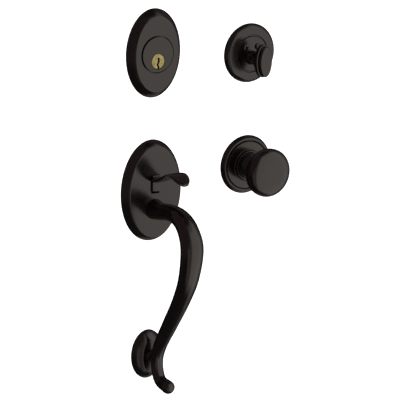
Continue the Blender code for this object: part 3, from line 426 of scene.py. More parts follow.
# a plate's section, from the hollow behind, round the rim, up the shoulder and over the face
def makePlate(name, s):
    side = shoulderLine(s)
    wall = shell["wall"]
    innerFace = s["depth"] - wall
    hollow = np.array([(wall + s["shoulder"], innerFace), (wall, s["rim"]), (wall, 0.0), (0.0, 0.0)])
    line = np.vstack([hollow, side])
    halfWidth, halfHeight = s["width"] / 2, s["height"] / 2
    rings = np.stack([0 * line[:, 0] + s["x"], 0 * line[:, 0] + s["z"], halfWidth - line[:, 0],
                      halfHeight - line[:, 0], line[:, 1]], -1)
    if s["hole"] is None:
        face = rings[-1] * (1, 1, shell["faceStart"], shell["faceStart"], 1)
        radii = np.full(len(rings) - 1, shell["crease"])
        radii[-1] = s["edge"]
        return gridObject(name, ringGrid(softened(np.vstack([rings, face]), radii)))
    hole = [(s["x"], s["z"], s["hole"], s["hole"], out) for out in (s["depth"], innerFace)]
    radii = np.full(len(rings) + 2, shell["crease"])
    radii[len(rings) - 1] = s["edge"]
    radii[-2] = shell["holeEdge"]
    rings = softened(np.vstack([rings, hole]), radii, loop=True)
    return gridObject(name, ringGrid(rings), loop=True)


deadboltPlate = makePlate("deadboltPlate", plates["deadboltPlate"])
finishPiece(deadboltPlate, "trim", "deadbolt_rosette")

footRose = makePlate("footRose", plates["footRose"])
finishPiece(footRose, "trim", "lower_rose")

# the grip's plate is opened for the thumb block and for the grip's spigot
cuts = dict(halfWidth=0.0053, low=-0.0014, high=0.0197, spigotZ=-0.0192, spigot=0.0072,
            inside=0.0072, outside=0.0120)
gripPlate = makePlate("gripPlate", plates["gripPlate"])
slotOutline = boxOutline(-cuts["halfWidth"], cuts["halfWidth"], cuts["low"], cuts["high"])
carve(gripPlate, prismObject("slotCutter", slotOutline, (0, -cuts["outside"], 0),
                             (0, -cuts["inside"], 0)))
carve(gripPlate, drill(0.0, cuts["spigotZ"], cuts["spigot"], cuts["inside"], cuts["outside"], 64))
finishPiece(gripPlate, "trim", "handle_escutcheon")


# outside lock cylinder: its bore lies below its middle, its flange behind the rosette
cylinder = dict(z=0.1521, radius=0.0192, front=0.0107, seat=0.0064, flange=0.0023, flangeBack=0.0042,
                back=-0.0140, edge=0.0004, fine=0.0002, plain=0.0003, boreDrop=0.0074, bore=0.0087,
                tapped=0.0018, spread=0.0157, screwRise=0.0045, tappedDepth=0.0100)


# circles from the bore's back end, out along the bore, over the face and back along the body
def makeCylinder(s):
    boreZ = s["z"] - s["boreDrop"]
    waist, lip = s["radius"] - s["flange"], s["radius"] + s["flange"]
    rings = [
        (0, boreZ, s["bore"], s["bore"], s["back"]),
        (0, boreZ, s["bore"], s["bore"], s["front"]),
        (0, s["z"], s["radius"], s["radius"], s["front"]),
        (0, s["z"], s["radius"], s["radius"], s["seat"]),
        (0, s["z"], lip, lip, s["seat"]),
        (0, s["z"], lip, lip, s["flangeBack"]),
        (0, s["z"], waist, waist, s["flangeBack"]),
        (0, s["z"], waist, waist, s["back"]),
    ]
    fine, plain = s["fine"], s["plain"]
    radii = np.array([fine, fine, s["edge"], fine, plain, plain, fine, plain])
    obj = gridObject("lockCylinder", ringGrid(softened(rings, radii, loop=True)), loop=True)
    for side in (-1, 1):
        carve(obj, drill(side * s["spread"] / 2, s["z"] + s["screwRise"], s["tapped"],
                         s["back"] - past, s["back"] + s["tappedDepth"]))
    return obj


lockCylinder = makeCylinder(cylinder)
finishPiece(lockCylinder, "trim", "deadbolt_cylinder")

# the key plug
plug = dict(z=0.1447, radius=0.0084, face=0.0077, front=0.0110, lip=0.0005, back=-0.0140,
            tail=0.0056, tailEnd=-0.0190, slotHalfWidth=0.0038, slotHalf=0.0012, slotFloor=0.0150,
            keyHalf=0.0012, keyBend=0.0006, keyDepth=0.0220,
            keyHeights=(0.0042, -0.0012, -0.0026, -0.0044, -0.0058, -0.0094))


# turned body with a bevelled face; the keyway is a zig-zag band cut down through the lower edge
def makePlug(s):
    profile = [(s["tail"], s["tailEnd"]), (s["tail"], s["back"]), (s["radius"], s["back"]),
               (s["radius"], s["front"] - s["lip"]), (s["face"], s["front"]), (0.002, s["front"])]
    radii = np.array([0.0002, 0.0003, 0.0002, 0.00015])
    obj = gridObject("keyPlug", ringGrid(turnedRings(softened(profile, radii), 0.0, s["z"]), 96))
    sides = np.array([1, 1, -1, -1, 1, 0]) * s["keyBend"]
    heights = s["z"] + np.array(s["keyHeights"])
    band = [(x - s["keyHalf"], 0, z) for x, z in zip(sides, heights)]
    band += [(x + s["keyHalf"], 0, z) for x, z in zip(sides[::-1], heights[::-1])]
    start, end = (0, -s["front"] - past, 0), (0, s["keyDepth"] - s["front"], 0)
    carve(obj, prismObject("keyway", band, start, end))
    w, h = s["slotHalfWidth"], s["slotHalf"]
    tailSlot = boxOutline(-w, w, s["z"] - h, s["z"] + h)
    start, end = (0, s["slotFloor"], 0), (0, past - s["tailEnd"], 0)
    carve(obj, prismObject("tailSlot", tailSlot, start, end))
    return obj


keyPlug = makePlug(plug)
finishPiece(keyPlug, "plug", "key_plug", "plain_brass")


# rose of the inside thumb turn
turnRose = dict(x=0.1253, z=0.1421, width=0.0664, depth=0.0060, rim=0.0012, shoulder=0.0044,
                slopes=(24, 66), wall=0.0026, groove=0.0202, grooveHalf=0.0011, grooveDepth=0.0016,
                boreDrop=0.0045, bore=0.0062, screwRise=0.0074, spread=0.0157, screwHole=0.0019,
                edge=0.0010, crease=0.00025)


# section from the hollow, round the rim, over the shoulder, across the ring groove and into the bore
def makeTurnRose(s):
    side = shoulderLine(s)
    radius, wall = s["width"] / 2, s["wall"]
    outer = np.stack([radius - side[:, 0], side[:, 1]], -1)
    g, h, floor = s["groove"], s["grooveHalf"], s["depth"] - s["grooveDepth"]
    section = np.vstack([
        [(radius - wall - s["shoulder"], s["depth"] - wall), (radius - wall, s["rim"]),
         (radius - wall, 0.0), (radius, 0.0)], outer,
        [(g + h, s["depth"]), (g + h / 2, floor), (g - h / 2, floor), (g - h, s["depth"])]])
    rings = turnedRings(section, s["x"], s["z"])
    boreZ = s["z"] - s["boreDrop"]
    bore = [(s["x"], boreZ, s["bore"], s["bore"], s["depth"]),
            (s["x"], boreZ, s["bore"], s["bore"], s["depth"] - wall)]
    rings = np.vstack([rings, bore])
    radii = np.full(len(rings), s["crease"])
    radii[len(section) - 5] = s["edge"]
    obj = gridObject("turnRose", ringGrid(softened(rings, radii, loop=True)), loop=True)
    for sign in (-1, 1):
        carve(obj, drill(s["x"] + sign * s["spread"] / 2, s["z"] + s["screwRise"], s["screwHole"],
                         0.0, s["depth"] + past))
    return obj


turnRosePiece = makeTurnRose(turnRose)
finishPiece(turnRosePiece, "trim", "turn_rose")

# the wing that a hand turns, with its neck and shaft
turnWing = dict(x=0.1253, z=0.1376, tail=-0.0040, shank=0.0058, foot=0.0063, hub=0.0080,
                hubHeight=0.0008, neck=0.0062, neckEnd=0.0108, halfWidth=0.0092, halfHeight=0.0182,
                reach=0.0352, faceRise=0.0060, band=0.0046, flarePower=1.9, step=0.0012,
                chamfer=0.0005, socketHalf=0.0038, socketThick=0.0012, socketFloor=0.0060)


# round sections widen to the wing as share^power between neck and band, then step in to the face
def makeTurnWing(s):
    bandFront = s["reach"] - s["faceRise"]
    flareEnd = bandFront - s["band"]
    share = np.linspace(0, 1, 25)[1:]
    wide = s["neck"] + (s["halfWidth"] - s["neck"]) * share ** s["flarePower"]
    tall = s["neck"] + (s["halfHeight"] - s["neck"]) * share ** s["flarePower"]
    out = s["neckEnd"] + (flareEnd - s["neckEnd"]) * share
    stem = [(s["shank"], s["shank"], s["tail"]), (s["shank"], s["shank"], s["foot"]),
            (s["hub"], s["hub"], s["foot"]), (s["hub"], s["hub"], s["foot"] + s["hubHeight"]),
            (s["neck"], s["neck"], s["neckEnd"])]
    st, ch, w, h = s["step"], s["chamfer"], s["halfWidth"], s["halfHeight"]
    face = [(w, h, bandFront), (w - st, h - st, bandFront + ch),
            (w - st, h - st, s["reach"] - 2 * ch), (w - st - 2 * ch, h - st - 2 * ch, s["reach"]),
            (0.4 * w, 0.4 * h, s["reach"])]
    line = np.vstack([stem, np.stack([wide, tall, out], -1), face])
    radii = np.full(len(line) - 2, 0.0003)
    radii[-2:] = 0.0006
    line = softened(line, radii, 6)
    rings = np.hstack([0 * line[:, :1] + s["x"], 0 * line[:, :1] + s["z"], line])
    obj = gridObject("turnWing", ringGrid(rings, 128))
    a, b = s["socketHalf"], s["socketThick"]
    socket = boxOutline(s["x"] - a, s["x"] + a, s["z"] - b, s["z"] + b)
    start, end = (0, -s["socketFloor"], 0), (0, past - s["tail"], 0)
    carve(obj, prismObject("tailSocket", socket, start, end))
    return obj


turnWingPiece = makeTurnWing(turnWing)
finishPiece(turnWingPiece, "turn", "turn_piece")

# the two screws in sight beside the neck
screw = dict(seat=0.0063, head=0.0036, edge=0.0006, height=0.0018, shank=0.0016, end=-0.0115,
             z=0.1495, armHalf=0.00055, armLength=0.0023, recess=0.0014, soft=0.00014,
             turns=(24, -38))


# head height over the seat at radius r: edge + (height - edge) sqrt(1 - (r/R)^2), less a cross
# whose arms fall off over a soft border and get shallower away from the middle
def makeScrew(name, x, turn, s):
    around = 128
    u = (np.arange(around) + 0.5) / around * 2 * math.pi
    r = np.concatenate([np.linspace(1, 0.62, 14), np.linspace(0.60, 0.02, 52)])[:, None] * s["head"]
    px, pz = r * np.cos(u), r * np.sin(u)
    cosT, sinT = math.cos(math.radians(turn)), math.sin(math.radians(turn))
    a, b = np.abs(px * cosT + pz * sinT), np.abs(pz * cosT - px * sinT)
    across, along = np.minimum(a, b), np.maximum(a, b)
    arm = np.clip((s["armHalf"] + s["soft"] - across) / (2 * s["soft"]), 0, 1)
    arm = arm * np.clip((s["armLength"] - along) / (2 * s["soft"]), 0, 1)
    arm = arm * arm * (3 - 2 * arm)
    dome = s["edge"] + (s["height"] - s["edge"]) * np.sqrt(np.clip(1 - (r / s["head"]) ** 2, 0, 1))
    out = s["seat"] + dome - s["recess"] * arm * (1 - 0.45 * along / s["armLength"])
    top = np.stack([x + px, -out, s["z"] + pz], -1)
    profile = [(s["shank"], s["end"]), (s["shank"], s["seat"]), (s["head"], s["seat"])]
    shank = ringGrid(turnedRings(profile, x, s["z"]), around)
    return gridObject(name, np.concatenate([shank, top]))


for sideName, sign, turn in (("Left", -1, screw["turns"][0]), ("Right", 1, screw["turns"][1])):
    screwX = turnRose["x"] + sign * turnRose["spread"] / 2
    piece = makeScrew("turnScrew" + sideName, screwX, turn, screw)
    finishPiece(piece, "trim", "turn_fixing_screw_" + sideName.lower())


# rose of the inside knob
knobRose = dict(x=0.1253, z=0.0151, radius=0.0334, rim=0.0010, wall=0.0026, step=0.0064,
                fall=0.0014, fallPower=1.3, top=0.0105, flat=0.0192, groove=0.0272,
                grooveHalf=0.0006, grooveOut=0.0034, cove=0.0184, collar=0.0172, hole=0.0146,
                chamfer=0.0005, crease=0.0002, lip=0.0007,
                bead=((0.0, 0.0010), (0.0022, 0.0044), (0.0032, 0.0053), (0.0043, 0.0056),
                      (0.0052, 0.0051)))


# bead, groove, flat ring, a quarter-round cove up to the collar, the bore and the hollow behind
def makeKnobRose(s):
    bead = throughPoints([(s["radius"] - inset, out) for inset, out in s["bead"]], 6)
    h, edge = s["grooveHalf"], (s["grooveOut"] + s["step"]) / 2
    u = np.linspace(0, 1, 7)[:, None]
    ring = np.hstack([s["groove"] - h + (s["flat"] - s["groove"] + h) * u,
                      s["step"] - s["fall"] * (1 - u) ** s["fallPower"]])
    groove = np.vstack([[(s["groove"] + h, edge), (s["groove"], s["grooveOut"]),
                         (s["groove"] - h, edge)], ring])
    a = np.linspace(0, math.pi / 2, 13)
    cove = np.stack([s["cove"] - (s["cove"] - s["collar"]) * np.sin(a),
                     s["step"] + (s["top"] - s["step"] - s["chamfer"]) * (1 - np.cos(a))], -1)
    wall = s["radius"] - s["wall"]
    rest = [(s["collar"] - s["chamfer"], s["top"]), (s["hole"], s["top"]),
            (s["hole"], s["top"] - s["wall"]), (s["collar"], s["top"] - s["wall"]),
            (s["cove"], s["step"] - s["wall"]), (s["groove"], s["grooveOut"] - s["rim"]),
            (wall, s["rim"]), (wall, 0.0), (s["radius"], 0.0)]
    section = np.vstack([bead, groove, cove, rest])
    radii = np.full(len(section), s["crease"])
    lipAt = len(section) - len(rest)
    radii[lipAt - 1:lipAt + 1] = s["lip"]
    rings = turnedRings(softened(section, radii, 5, True), s["x"], s["z"])
    return gridObject("knobRose", ringGrid(rings), loop=True)


knobRosePiece = makeKnobRose(knobRose)
finishPiece(knobRosePiece, "trim", "knob_rose")

# the knob
knob = dict(x=0.1253, z=0.0151, hub=0.0128, shankEnd=0.0021, hubOut=0.0121, hubChamfer=0.0010,
            shank=0.0102, neckOut=0.0180, back=0.0300, flare=0.0016, radius=0.0272, belly=0.0450,
            band=0.0012, reach=0.0560, facePower=0.5, lip=0.0005, spindleHalf=0.0041,
            socket=0.0221, grubOut=0.0245, grub=0.0022, grubFrom=0.0039, grubTo=0.0120)


# the belly is a quarter round from neck to band; over the face the radius goes with cos^power
# of the same angle whose sine lifts it to the reach
def makeKnob(s):
    low = s["shank"] + s["flare"]
    stem = [(s["hub"], s["shankEnd"]), (s["hub"], s["hubOut"]),
            (s["hub"] - s["hubChamfer"], s["hubOut"] + s["hubChamfer"]), (s["shank"], s["neckOut"]),
            (s["shank"], s["back"] - s["flare"]), (low, s["back"] + s["lip"])]
    stem = softened(stem, 0.0008, 6)
    a = np.linspace(0, math.pi / 2, 33)[1:]
    belly = np.stack([low + (s["radius"] - low) * np.sin(a),
                      s["belly"] - (s["belly"] - s["back"] - s["lip"]) * np.cos(a)], -1)
    front = s["belly"] + s["band"]
    a = np.radians(np.concatenate([np.linspace(0, 84, 36), [86, 88, 89.3]]))
    face = np.stack([s["radius"] * np.cos(a) ** s["facePower"],
                     front + (s["reach"] - front) * np.sin(a)], -1)
    profile = np.vstack([stem, belly, face])
    obj = gridObject("knobHead", ringGrid(turnedRings(profile, s["x"], s["z"]), 192))
    h = s["spindleHalf"]
    square = boxOutline(s["x"] - h, s["x"] + h, s["z"] - h, s["z"] + h)
    carve(obj, prismObject("spindleSocket", square, (0, -s["socket"], 0), (0, 0, 0)))
    hole = sideCircle(s["x"], -s["grubOut"], s["z"], s["grub"], 24, 0)
    carve(obj, prismObject("grubHole", hole, (s["grubFrom"], 0, 0), (s["grubTo"], 0, 0)))
    return obj


knobHead = makeKnob(knob)
finishPiece(knobHead, "knob", "knob")


# the grip: one curve from its spigot in the upper plate to the curl below the lower rose
grip = dict(
    rootZ=-0.0192, footZ=-0.1886, reach=0.0867, radius=0.01240, oval=0.14, seat=0.0113,
    spigot=0.0068, spigotEnd=0.0021, collar=0.0005, boltBore=0.0027, boltEnd=0.0138,
    # share of the reach, share of the drop from root to foot, share of the radius
    line=((0.165, 0.000, 0.890), (0.285, -0.004, 0.810), (0.500, -0.021, 0.790),
          (0.712, -0.013, 0.851), (0.890, 0.041, 0.920), (1.000, 0.156, 1.000),
          (0.944, 0.352, 0.911), (0.784, 0.527, 0.800), (0.544, 0.720, 0.712),
          (0.324, 0.898, 0.614), (0.257, 1.019, 0.551), (0.335, 1.1275, 0.552),
          (0.532, 1.1505, 0.605)),
    # radius and distance from the door along the lug below the grip's curve
    lug=((0.0060, 0.0021), (0.0060, 0.0103), (0.0073, 0.0103), (0.0068, 0.0120), (0.0054, 0.0137)),
    lugFlare=0.0024,
)


# an oval carried along the curve, square to it: wide cos u across and deep sin u in its plane;
# the round end keeps the last oval and shrinks it with cos a while it moves on with sin a
def gripGrid(s, steps=14, around=72):
    drop = s["rootZ"] - s["footZ"]
    share = np.array(s["line"])
    knots = np.stack([s["reach"] * share[:, 0], s["rootZ"] - drop * share[:, 1],
                      s["radius"] * share[:, 2]], -1)
    line = throughPoints(knots, steps)
    last = len(line) - 1
    along = np.zeros((last + 1, 3))
    ahead, behind = neighbours(line)
    along[:, 1], along[:, 2] = behind[:, 0] - ahead[:, 0], ahead[:, 1] - behind[:, 1]
    along[0] = (0, -1, 0)
    along /= np.linalg.norm(along, axis=1, keepdims=True)
    normal = np.cross(along, (1, 0, 0))
    flat = s["oval"] * np.sin(math.pi * np.arange(last + 1) / last)
    wide, deep = line[:, 2] * (1 + flat / 2), line[:, 2] * (1 - flat)
    centre = np.stack([0 * wide, -line[:, 0], line[:, 1]], -1)
    a = np.radians(np.array([10, 20, 30, 40, 50, 60, 69, 77, 84, 88]))[:, None]
    centre = np.vstack([centre, centre[-1] + along[-1] * deep[-1] * np.sin(a)])
    normal = np.vstack([normal, np.repeat(normal[-1:], len(a), 0)])
    wide = np.append(wide, wide[-1] * np.cos(a))
    deep = np.append(deep, deep[-1] * np.cos(a))
    root = line[0, 2]
    footLine = softened([(s["spigot"], s["spigotEnd"]), (s["spigot"], s["seat"]),
                         (root + s["collar"], s["seat"]), (root, s["reach"] * share[0, 0])],
                        0.0005, 6)[:-1]
    footCentre = np.stack([0 * footLine[:, 0], -footLine[:, 1], 0 * footLine[:, 0] + s["rootZ"]], -1)
    centre = np.vstack([footCentre, centre])
    normal = np.vstack([np.repeat(normal[:1], len(footLine), 0), normal])
    wide, deep = np.append(footLine[:, 0], wide), np.append(footLine[:, 0], deep)
    u = np.arange(around) / around * 2 * math.pi
    across = np.array([1.0, 0, 0])[None, None] * (wide[:, None] * np.cos(u))[..., None]
    return centre[:, None] + across + normal[:, None] * (deep[:, None] * np.sin(u))[..., None], knots


# the lug is turned about y at the foot and opens towards the grip it carries
def makeGrip(s):
    grid, knots = gripGrid(s)
    obj = gridObject("gripBar", grid)
    line = throughPoints(knots, 40)
    reachOut = line[np.argmin(np.abs(line[:, 1] - s["footZ"])), 0]
    t = np.linspace(0, 1, 9)
    neck = s["lug"][-1]
    flare = np.stack([neck[0] + s["lugFlare"] * t ** 3, neck[1] + (reachOut - neck[1]) * t], -1)[1:]
    profile = np.vstack([softened(s["lug"], 0.0003, 5), flare])
    carve(obj, gridObject("lug", ringGrid(turnedRings(profile, 0.0, s["footZ"]), 64)), "UNION")
    for z in (s["rootZ"], s["footZ"]):
        carve(obj, drill(0.0, z, s["boltBore"], 0.0, s["boltEnd"]))
    return obj


gripBar = makeGrip(grip)
finishPiece(gripBar, "trim", "grip")


# the thumb lever: a block in the plate's slot, the pad in front of it and the tail behind
thumb = dict(
    pivotOut=0.0040, pivotZ=0.0125, blockHalf=0.0049, front=0.0096, back=0.0042, drop=0.0117,
    rise=0.0069, slope=0.0010, chamfer=0.0010, heel=0.0005, lugHalf=0.0031, lugRadius=0.0042,
    tailReach=0.0240, tailHalf=0.0028, tailThick=0.0015, bore=0.0018, boreHalf=0.0070,
    reach=0.0657, lift=0.0170, padHalf=0.0110, rootThick=0.0034, tip=0.0014, dish=0.0008,
    soft=0.0004,
    # shares of the reach, of the lift, of the pad's width and of the root's thickness
    line=((0.099, 0.110, 0.43, 1.05), (0.190, 0.160, 0.76, 1.00), (0.326, 0.310, 0.92, 0.80),
          (0.414, 0.460, 0.90, 0.68), (0.518, 0.680, 0.88, 0.60), (0.609, 0.860, 0.92, 0.58),
          (0.700, 0.970, 1.00, 0.56), (0.791, 0.950, 1.02, 0.55), (0.883, 0.810, 0.93, 0.52),
          (0.951, 0.640, 0.72, 0.47), (1.000, 0.500, 0.42, 0.42)),
)


# an oval carried along the lever; over the pad its upper side sinks by dish (1 - (x / half)^2)
def padGrid(s, steps=12, around=64):
    scale = (s["reach"], s["lift"], s["padHalf"], s["rootThick"])
    line = throughPoints(np.array(s["line"]) * scale, steps)
    ahead, behind = neighbours(line)
    along = np.stack([0 * line[:, 0], behind[:, 0] - ahead[:, 0], ahead[:, 1] - behind[:, 1]], -1)
    along /= np.linalg.norm(along, axis=1, keepdims=True)
    down = np.cross((1, 0, 0), along)
    centre = np.stack([0 * line[:, 0], -line[:, 0], line[:, 1]], -1)
    wide, thick = line[:, 2].copy(), line[:, 3].copy()
    a = np.radians(np.array([15, 30, 45, 60, 72, 82]))
    centre = np.vstack([centre, centre[-1] + along[-1] * (s["tip"] * np.sin(a))[:, None]])
    down = np.vstack([down, np.repeat(down[-1:], len(a), 0)])
    wide, thick = np.append(wide, wide[-1] * np.cos(a)), np.append(thick, thick[-1] * np.cos(a))
    u = np.arange(around) / around * 2 * math.pi
    broad = np.clip((wide / s["padHalf"] - 0.5) / 0.4, 0, 1)
    broad = (broad * broad * (3 - 2 * broad))[:, None]
    sink = s["dish"] * broad * np.sin(u) ** 2 * (np.sin(u) < 0)
    across = (wide[:, None] * np.cos(u))[..., None] * np.array([1.0, 0, 0])
    grid = centre[:, None] + across + down[:, None] * (thick[:, None] * np.sin(u) + sink)[..., None]
    return grid + np.array([0, -s["pivotOut"], s["pivotZ"]])


# the block's side outline is carried across its width and rounded; the pad, a round lug at the
# pivot and the tail are joined on, and the pin's bore is cut through them
def makeThumb(s):
    f, b, d, c, r, sl = s["front"], s["back"], s["drop"], s["chamfer"], s["rise"], s["slope"]
    outline = np.array([(-f, c - d), (c - f, -d), (-b, -d), (0, s["heel"] - s["lugRadius"]), (0, r),
                        (sl - f, r), (-f, r - sl)]) + (-s["pivotOut"], s["pivotZ"])
    block = [(0.0, y, z) for y, z in outline]
    obj = prismObject("thumbLever", block, (-s["blockHalf"], 0, 0), (s["blockHalf"], 0, 0))
    bevelled(obj, s["soft"], 4)
    carve(obj, gridObject("pad", padGrid(s)), "UNION")
    ring = sideCircle(0.0, -s["pivotOut"], s["pivotZ"], s["lugRadius"])
    carve(obj, prismObject("lug", ring, (-s["lugHalf"], 0, 0), (s["lugHalf"], 0, 0)), "UNION")
    t, h = s["tailThick"], s["tailHalf"]
    y0, y1 = -s["pivotOut"], s["tailReach"] - s["pivotOut"]
    tail = [(0, y0, s["pivotZ"] - t), (0, y1, s["pivotZ"] - t), (0, y1, s["pivotZ"] + t),
            (0, y0, s["pivotZ"] + t)]
    tailPiece = prismObject("tail", tail, (-h, 0, 0), (h, 0, 0))
    carve(obj, bevelled(tailPiece, s["soft"], 2), "UNION")
    ring = sideCircle(0.0, -s["pivotOut"], s["pivotZ"], s["bore"])
    carve(obj, prismObject("bore", ring, (-s["boreHalf"], 0, 0), (s["boreHalf"], 0, 0)))
    return obj


thumbLever = makeThumb(thumb)
finishPiece(thumbLever, "thumb", "thumbpiece")


# the other nodes keep their own shape and get a real finish
for part in frame["record"]["subparts"]:
    node = frame["nodes"][part["node"]]
    for place in node.material_slots:
        place.material = slotFinish[part["material_slot"]]
print("carried nodes finished")


# studio: soft light from the front right, white behind, and what the gloss sees
studio = dict(
    center=(0.06, -0.035, -0.01),
    floorZ=-0.62, floorHalf=9.0,
    ambient=0.60, keyToward=(0.62, -0.70, 0.36), keyDistance=1.7, keyWidth=1.2, keyHeight=1.2,
    keyRadiance=2.1,
    # the tent seen in the gloss: tones, and openings as least and most azimuth from straight ahead
    # of the door towards its right, then least and most height, all in degrees
    tentRadius=3.0, tentStep=3, felt=(0.150, 0.106, 0.125),
    opening=(-12, 69, -54, 51),
    cloths=(("thinScrim", 0.55, ((-21, 84, -63, 63), (-48, -36, -48, 0))),
            ("thickScrim", 0.28, ((-36, -18, -54, 18), (105, 165, -81, -39))),
            ("darkSerge", 0.045, ((-138, -36, -90, -51), (-138, -48, -51, -21), (-36, 105, -90, -63),
                                 (-60, 120, 66, 90))),
            ("blackVelvet", 0.015, ((114, 180, -39, 27), (-180, -138, -81, 27)))),
)


# white where the camera or the gloss looks, and a dimmer ambient for all other rays:
# the larger of camera, glossy and transmission ray, each 0 or 1, mixes the two
def makeWorld(s):
    world = bpy.data.worlds.new("whiteSweep")
    bpy.context.scene.world = world
    world.use_nodes = True
    world.cycles.sampling_method = "NONE"
    tree = world.node_tree
    tree.nodes.clear()
    path = addNode(tree, "ShaderNodeLightPath")
    some = addNode(tree, "ShaderNodeMath", {"operation": "MAXIMUM"}, None,
                   {0: (path, "Is Camera Ray"), 1: (path, "Is Glossy Ray")})
    seen = addNode(tree, "ShaderNodeMath", {"operation": "MAXIMUM"}, None,
                   {0: (some, 0), 1: (path, "Is Transmission Ray")})
    ambient = addNode(tree, "ShaderNodeBackground", None,
                      {"Color": linearColor("#fffdfa"), "Strength": s["ambient"]})
    sweep = addNode(tree, "ShaderNodeBackground", None, {"Color": (1, 1, 1, 1), "Strength": 1.0})
    mix = addNode(tree, "ShaderNodeMixShader", None, None,
                  {0: (seen, 0), 1: (ambient, 0), 2: (sweep, 0)})
    addNode(tree, "ShaderNodeOutputWorld", None, None, {"Surface": (mix, 0)})


# a square of pale paint, to which a glow of 1 for camera rays is added so that it shows white
def makeFloor(s):
    h, z = s["floorHalf"], s["floorZ"]
    mesh = bpy.data.meshes.new("paleFloor")
    mesh.from_pydata([(-h, -h, z), (h, -h, z), (h, h, z), (-h, h, z)], [], [(0, 1, 2, 3)])
    floor = bpy.data.objects.new("paleFloor", mesh)
    bpy.context.scene.collection.objects.link(floor)
    material, tree, shader, place = startMaterial("palePaint")
    dapple = addNode(tree, "ShaderNodeTexNoise", None, {"Scale": 3.0}, {"Vector": (place, "Object")})
    color = addNode(tree, "ShaderNodeMix", {"data_type": "RGBA"},
                    {6: linearColor("#f6f6f4"), 7: linearColor("#f2f2f0")}, {0: (dapple, "Fac")})
    tree.links.new(color.outputs[2], shader.inputs["Base Color"])
    shader.inputs["Roughness"].default_value = 0.9
    path = addNode(tree, "ShaderNodeLightPath")
    glow = addNode(tree, "ShaderNodeEmission", None, {"Color": (1, 1, 1, 1)},
                   {"Strength": (path, "Is Camera Ray")})
    both = addNode(tree, "ShaderNodeAddShader", None, None, {0: (shader, 0), 1: (glow, 0)})
    tree.links.new(both.outputs[0], tree.nodes["Material Output"].inputs["Surface"])
    mesh.materials.append(material)
    floor.visible_glossy = False


# which directions lie in a box of least and most azimuth, least and most height
def isWithin(box, azimuth, height):
    return (azimuth > box[0]) & (azimuth < box[1]) & (height > box[2]) & (height < box[3])


# a tent round the set, seen only in its gloss: a ball of quads at azimuth a and height h, where
# x = cos h sin a, y = -cos h cos a and z = sin h; felt at the left, black velvet behind, dark
# serge above and below, scrim round the one opening to the white sweep on the right
def makeTent(s):
    step = s["tentStep"]
    azimuth, height = np.meshgrid(np.arange(-180, 180, step), np.arange(-90, 91, step))
    a, h = np.radians(azimuth), np.radians(height)
    toward = np.stack([np.cos(h) * np.sin(a), -np.cos(h) * np.cos(a), np.sin(h)], -1)
    points = np.array(s["center"]) + s["tentRadius"] * toward
    index = np.arange(azimuth.size).reshape(azimuth.shape)
    beside = np.roll(index, -1, 1)
    quads = np.stack([index[:-1], beside[:-1], beside[1:], index[1:]], -1).reshape(-1, 4)
    azimuth = (azimuth[:-1] + step / 2).ravel()
    height = (height[:-1] + step / 2).ravel()
    cloth = np.zeros(len(quads), np.int32)
    for number, (name, tone, boxes) in enumerate(s["cloths"]):
        for box in boxes:
            cloth[isWithin(box, azimuth, height)] = number + 1
    inside = isWithin(s["opening"], azimuth, height)
    mesh = bpy.data.meshes.new("studioTent")
    mesh.from_pydata(points.reshape(-1, 3).tolist(), [], quads[~inside].tolist())
    mesh.polygons.foreach_set("material_index", cloth[~inside])
    tones = [("darkFelt", s["felt"])]
    tones += [(name, (tone, tone, tone)) for name, tone, boxes in s["cloths"]]
    for name, tone in tones:
        material = bpy.data.materials.new(name)
        material.use_nodes = True
        tree = material.node_tree
        tree.nodes.clear()
        glow = addNode(tree, "ShaderNodeEmission", None, {"Color": (*tone, 1)})
        addNode(tree, "ShaderNodeOutputMaterial", None, None, {"Surface": (glow, 0)})
        mesh.materials.append(material)
    tent = bpy.data.objects.new("studioTent", mesh)
    bpy.context.scene.collection.objects.link(tent)
    tent.visible_camera = False
    tent.visible_diffuse = False
    tent.visible_transmission = False
    tent.visible_volume_scatter = False
    tent.visible_shadow = False


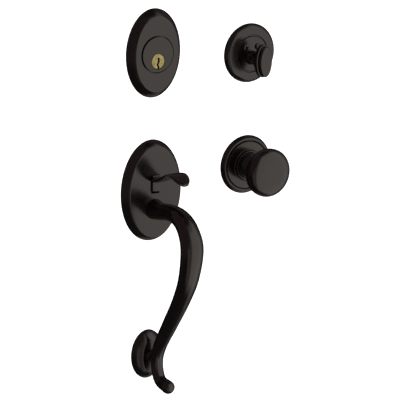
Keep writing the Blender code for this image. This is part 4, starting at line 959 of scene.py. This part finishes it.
# a soft box of width by height whose face has the given radiance: power = radiance x area x pi;
# the gloss shows the tent's opening in its stead
def addSoftBox(name, place, target, width, height, radiance):
    light = bpy.data.lights.new(name, "AREA")
    light.shape, light.size, light.size_y = "RECTANGLE", width, height
    light.energy = radiance * width * height * math.pi
    obj = bpy.data.objects.new(name, light)
    bpy.context.scene.collection.objects.link(obj)
    back = np.array(place, float) - np.array(target)
    back /= np.linalg.norm(back)
    right = np.cross((0, 0, 1), back)
    right /= np.linalg.norm(right)
    up = np.cross(back, right)
    rows = [[right[i], up[i], back[i], place[i]] for i in range(3)]
    obj.matrix_world = Matrix(rows + [[0, 0, 0, 1]])
    obj.visible_glossy = False


makeWorld(studio)
makeFloor(studio)
makeTent(studio)
center = np.array(studio["center"])
addSoftBox("keyBox", center + studio["keyDistance"] * np.array(studio["keyToward"]), center,
           studio["keyWidth"], studio["keyHeight"], studio["keyRadiance"])
print("studio lit")


# the photograph's own view: 437.4 mm across its 400 pixels at the target
view = dict(azimuth=-33.65, elevation=14.89, roll=-1.61, across=0.05472, down=0.01107,
            distance=2.295, field=0.4374, sensor=36.0)


# the camera stands at distance from the target along
# (sin az cos el, -cos az cos el, sin el), turned by the roll about that line;
# its lens is sensor x distance / field
def makeCamera(s):
    az, el, roll = np.radians([s["azimuth"], s["elevation"], s["roll"]])
    right = np.array([math.cos(az), math.sin(az), 0])
    up = np.array([-math.sin(az) * math.sin(el), math.cos(az) * math.sin(el), math.cos(el)])
    toward = np.array([math.sin(az) * math.cos(el), -math.cos(az) * math.cos(el), math.sin(el)])
    turnedRight = math.cos(roll) * right - math.sin(roll) * up
    turnedUp = math.sin(roll) * right + math.cos(roll) * up
    target = s["across"] * turnedRight - s["down"] * turnedUp
    place = target + s["distance"] * toward
    camera = bpy.data.objects.new("camera", bpy.data.cameras.new("camera"))
    camera.data.sensor_width = s["sensor"]
    camera.data.lens = s["sensor"] * s["distance"] / s["field"]
    camera.data.clip_start, camera.data.clip_end = 0.05, 60
    rows = [[turnedRight[i], turnedUp[i], toward[i], place[i]] for i in range(3)]
    camera.matrix_world = Matrix(rows + [[0, 0, 0, 1]])
    bpy.context.scene.collection.objects.link(camera)
    bpy.context.scene.camera = camera


makeCamera(view)
bpy.context.scene.view_settings.view_transform = "Standard"
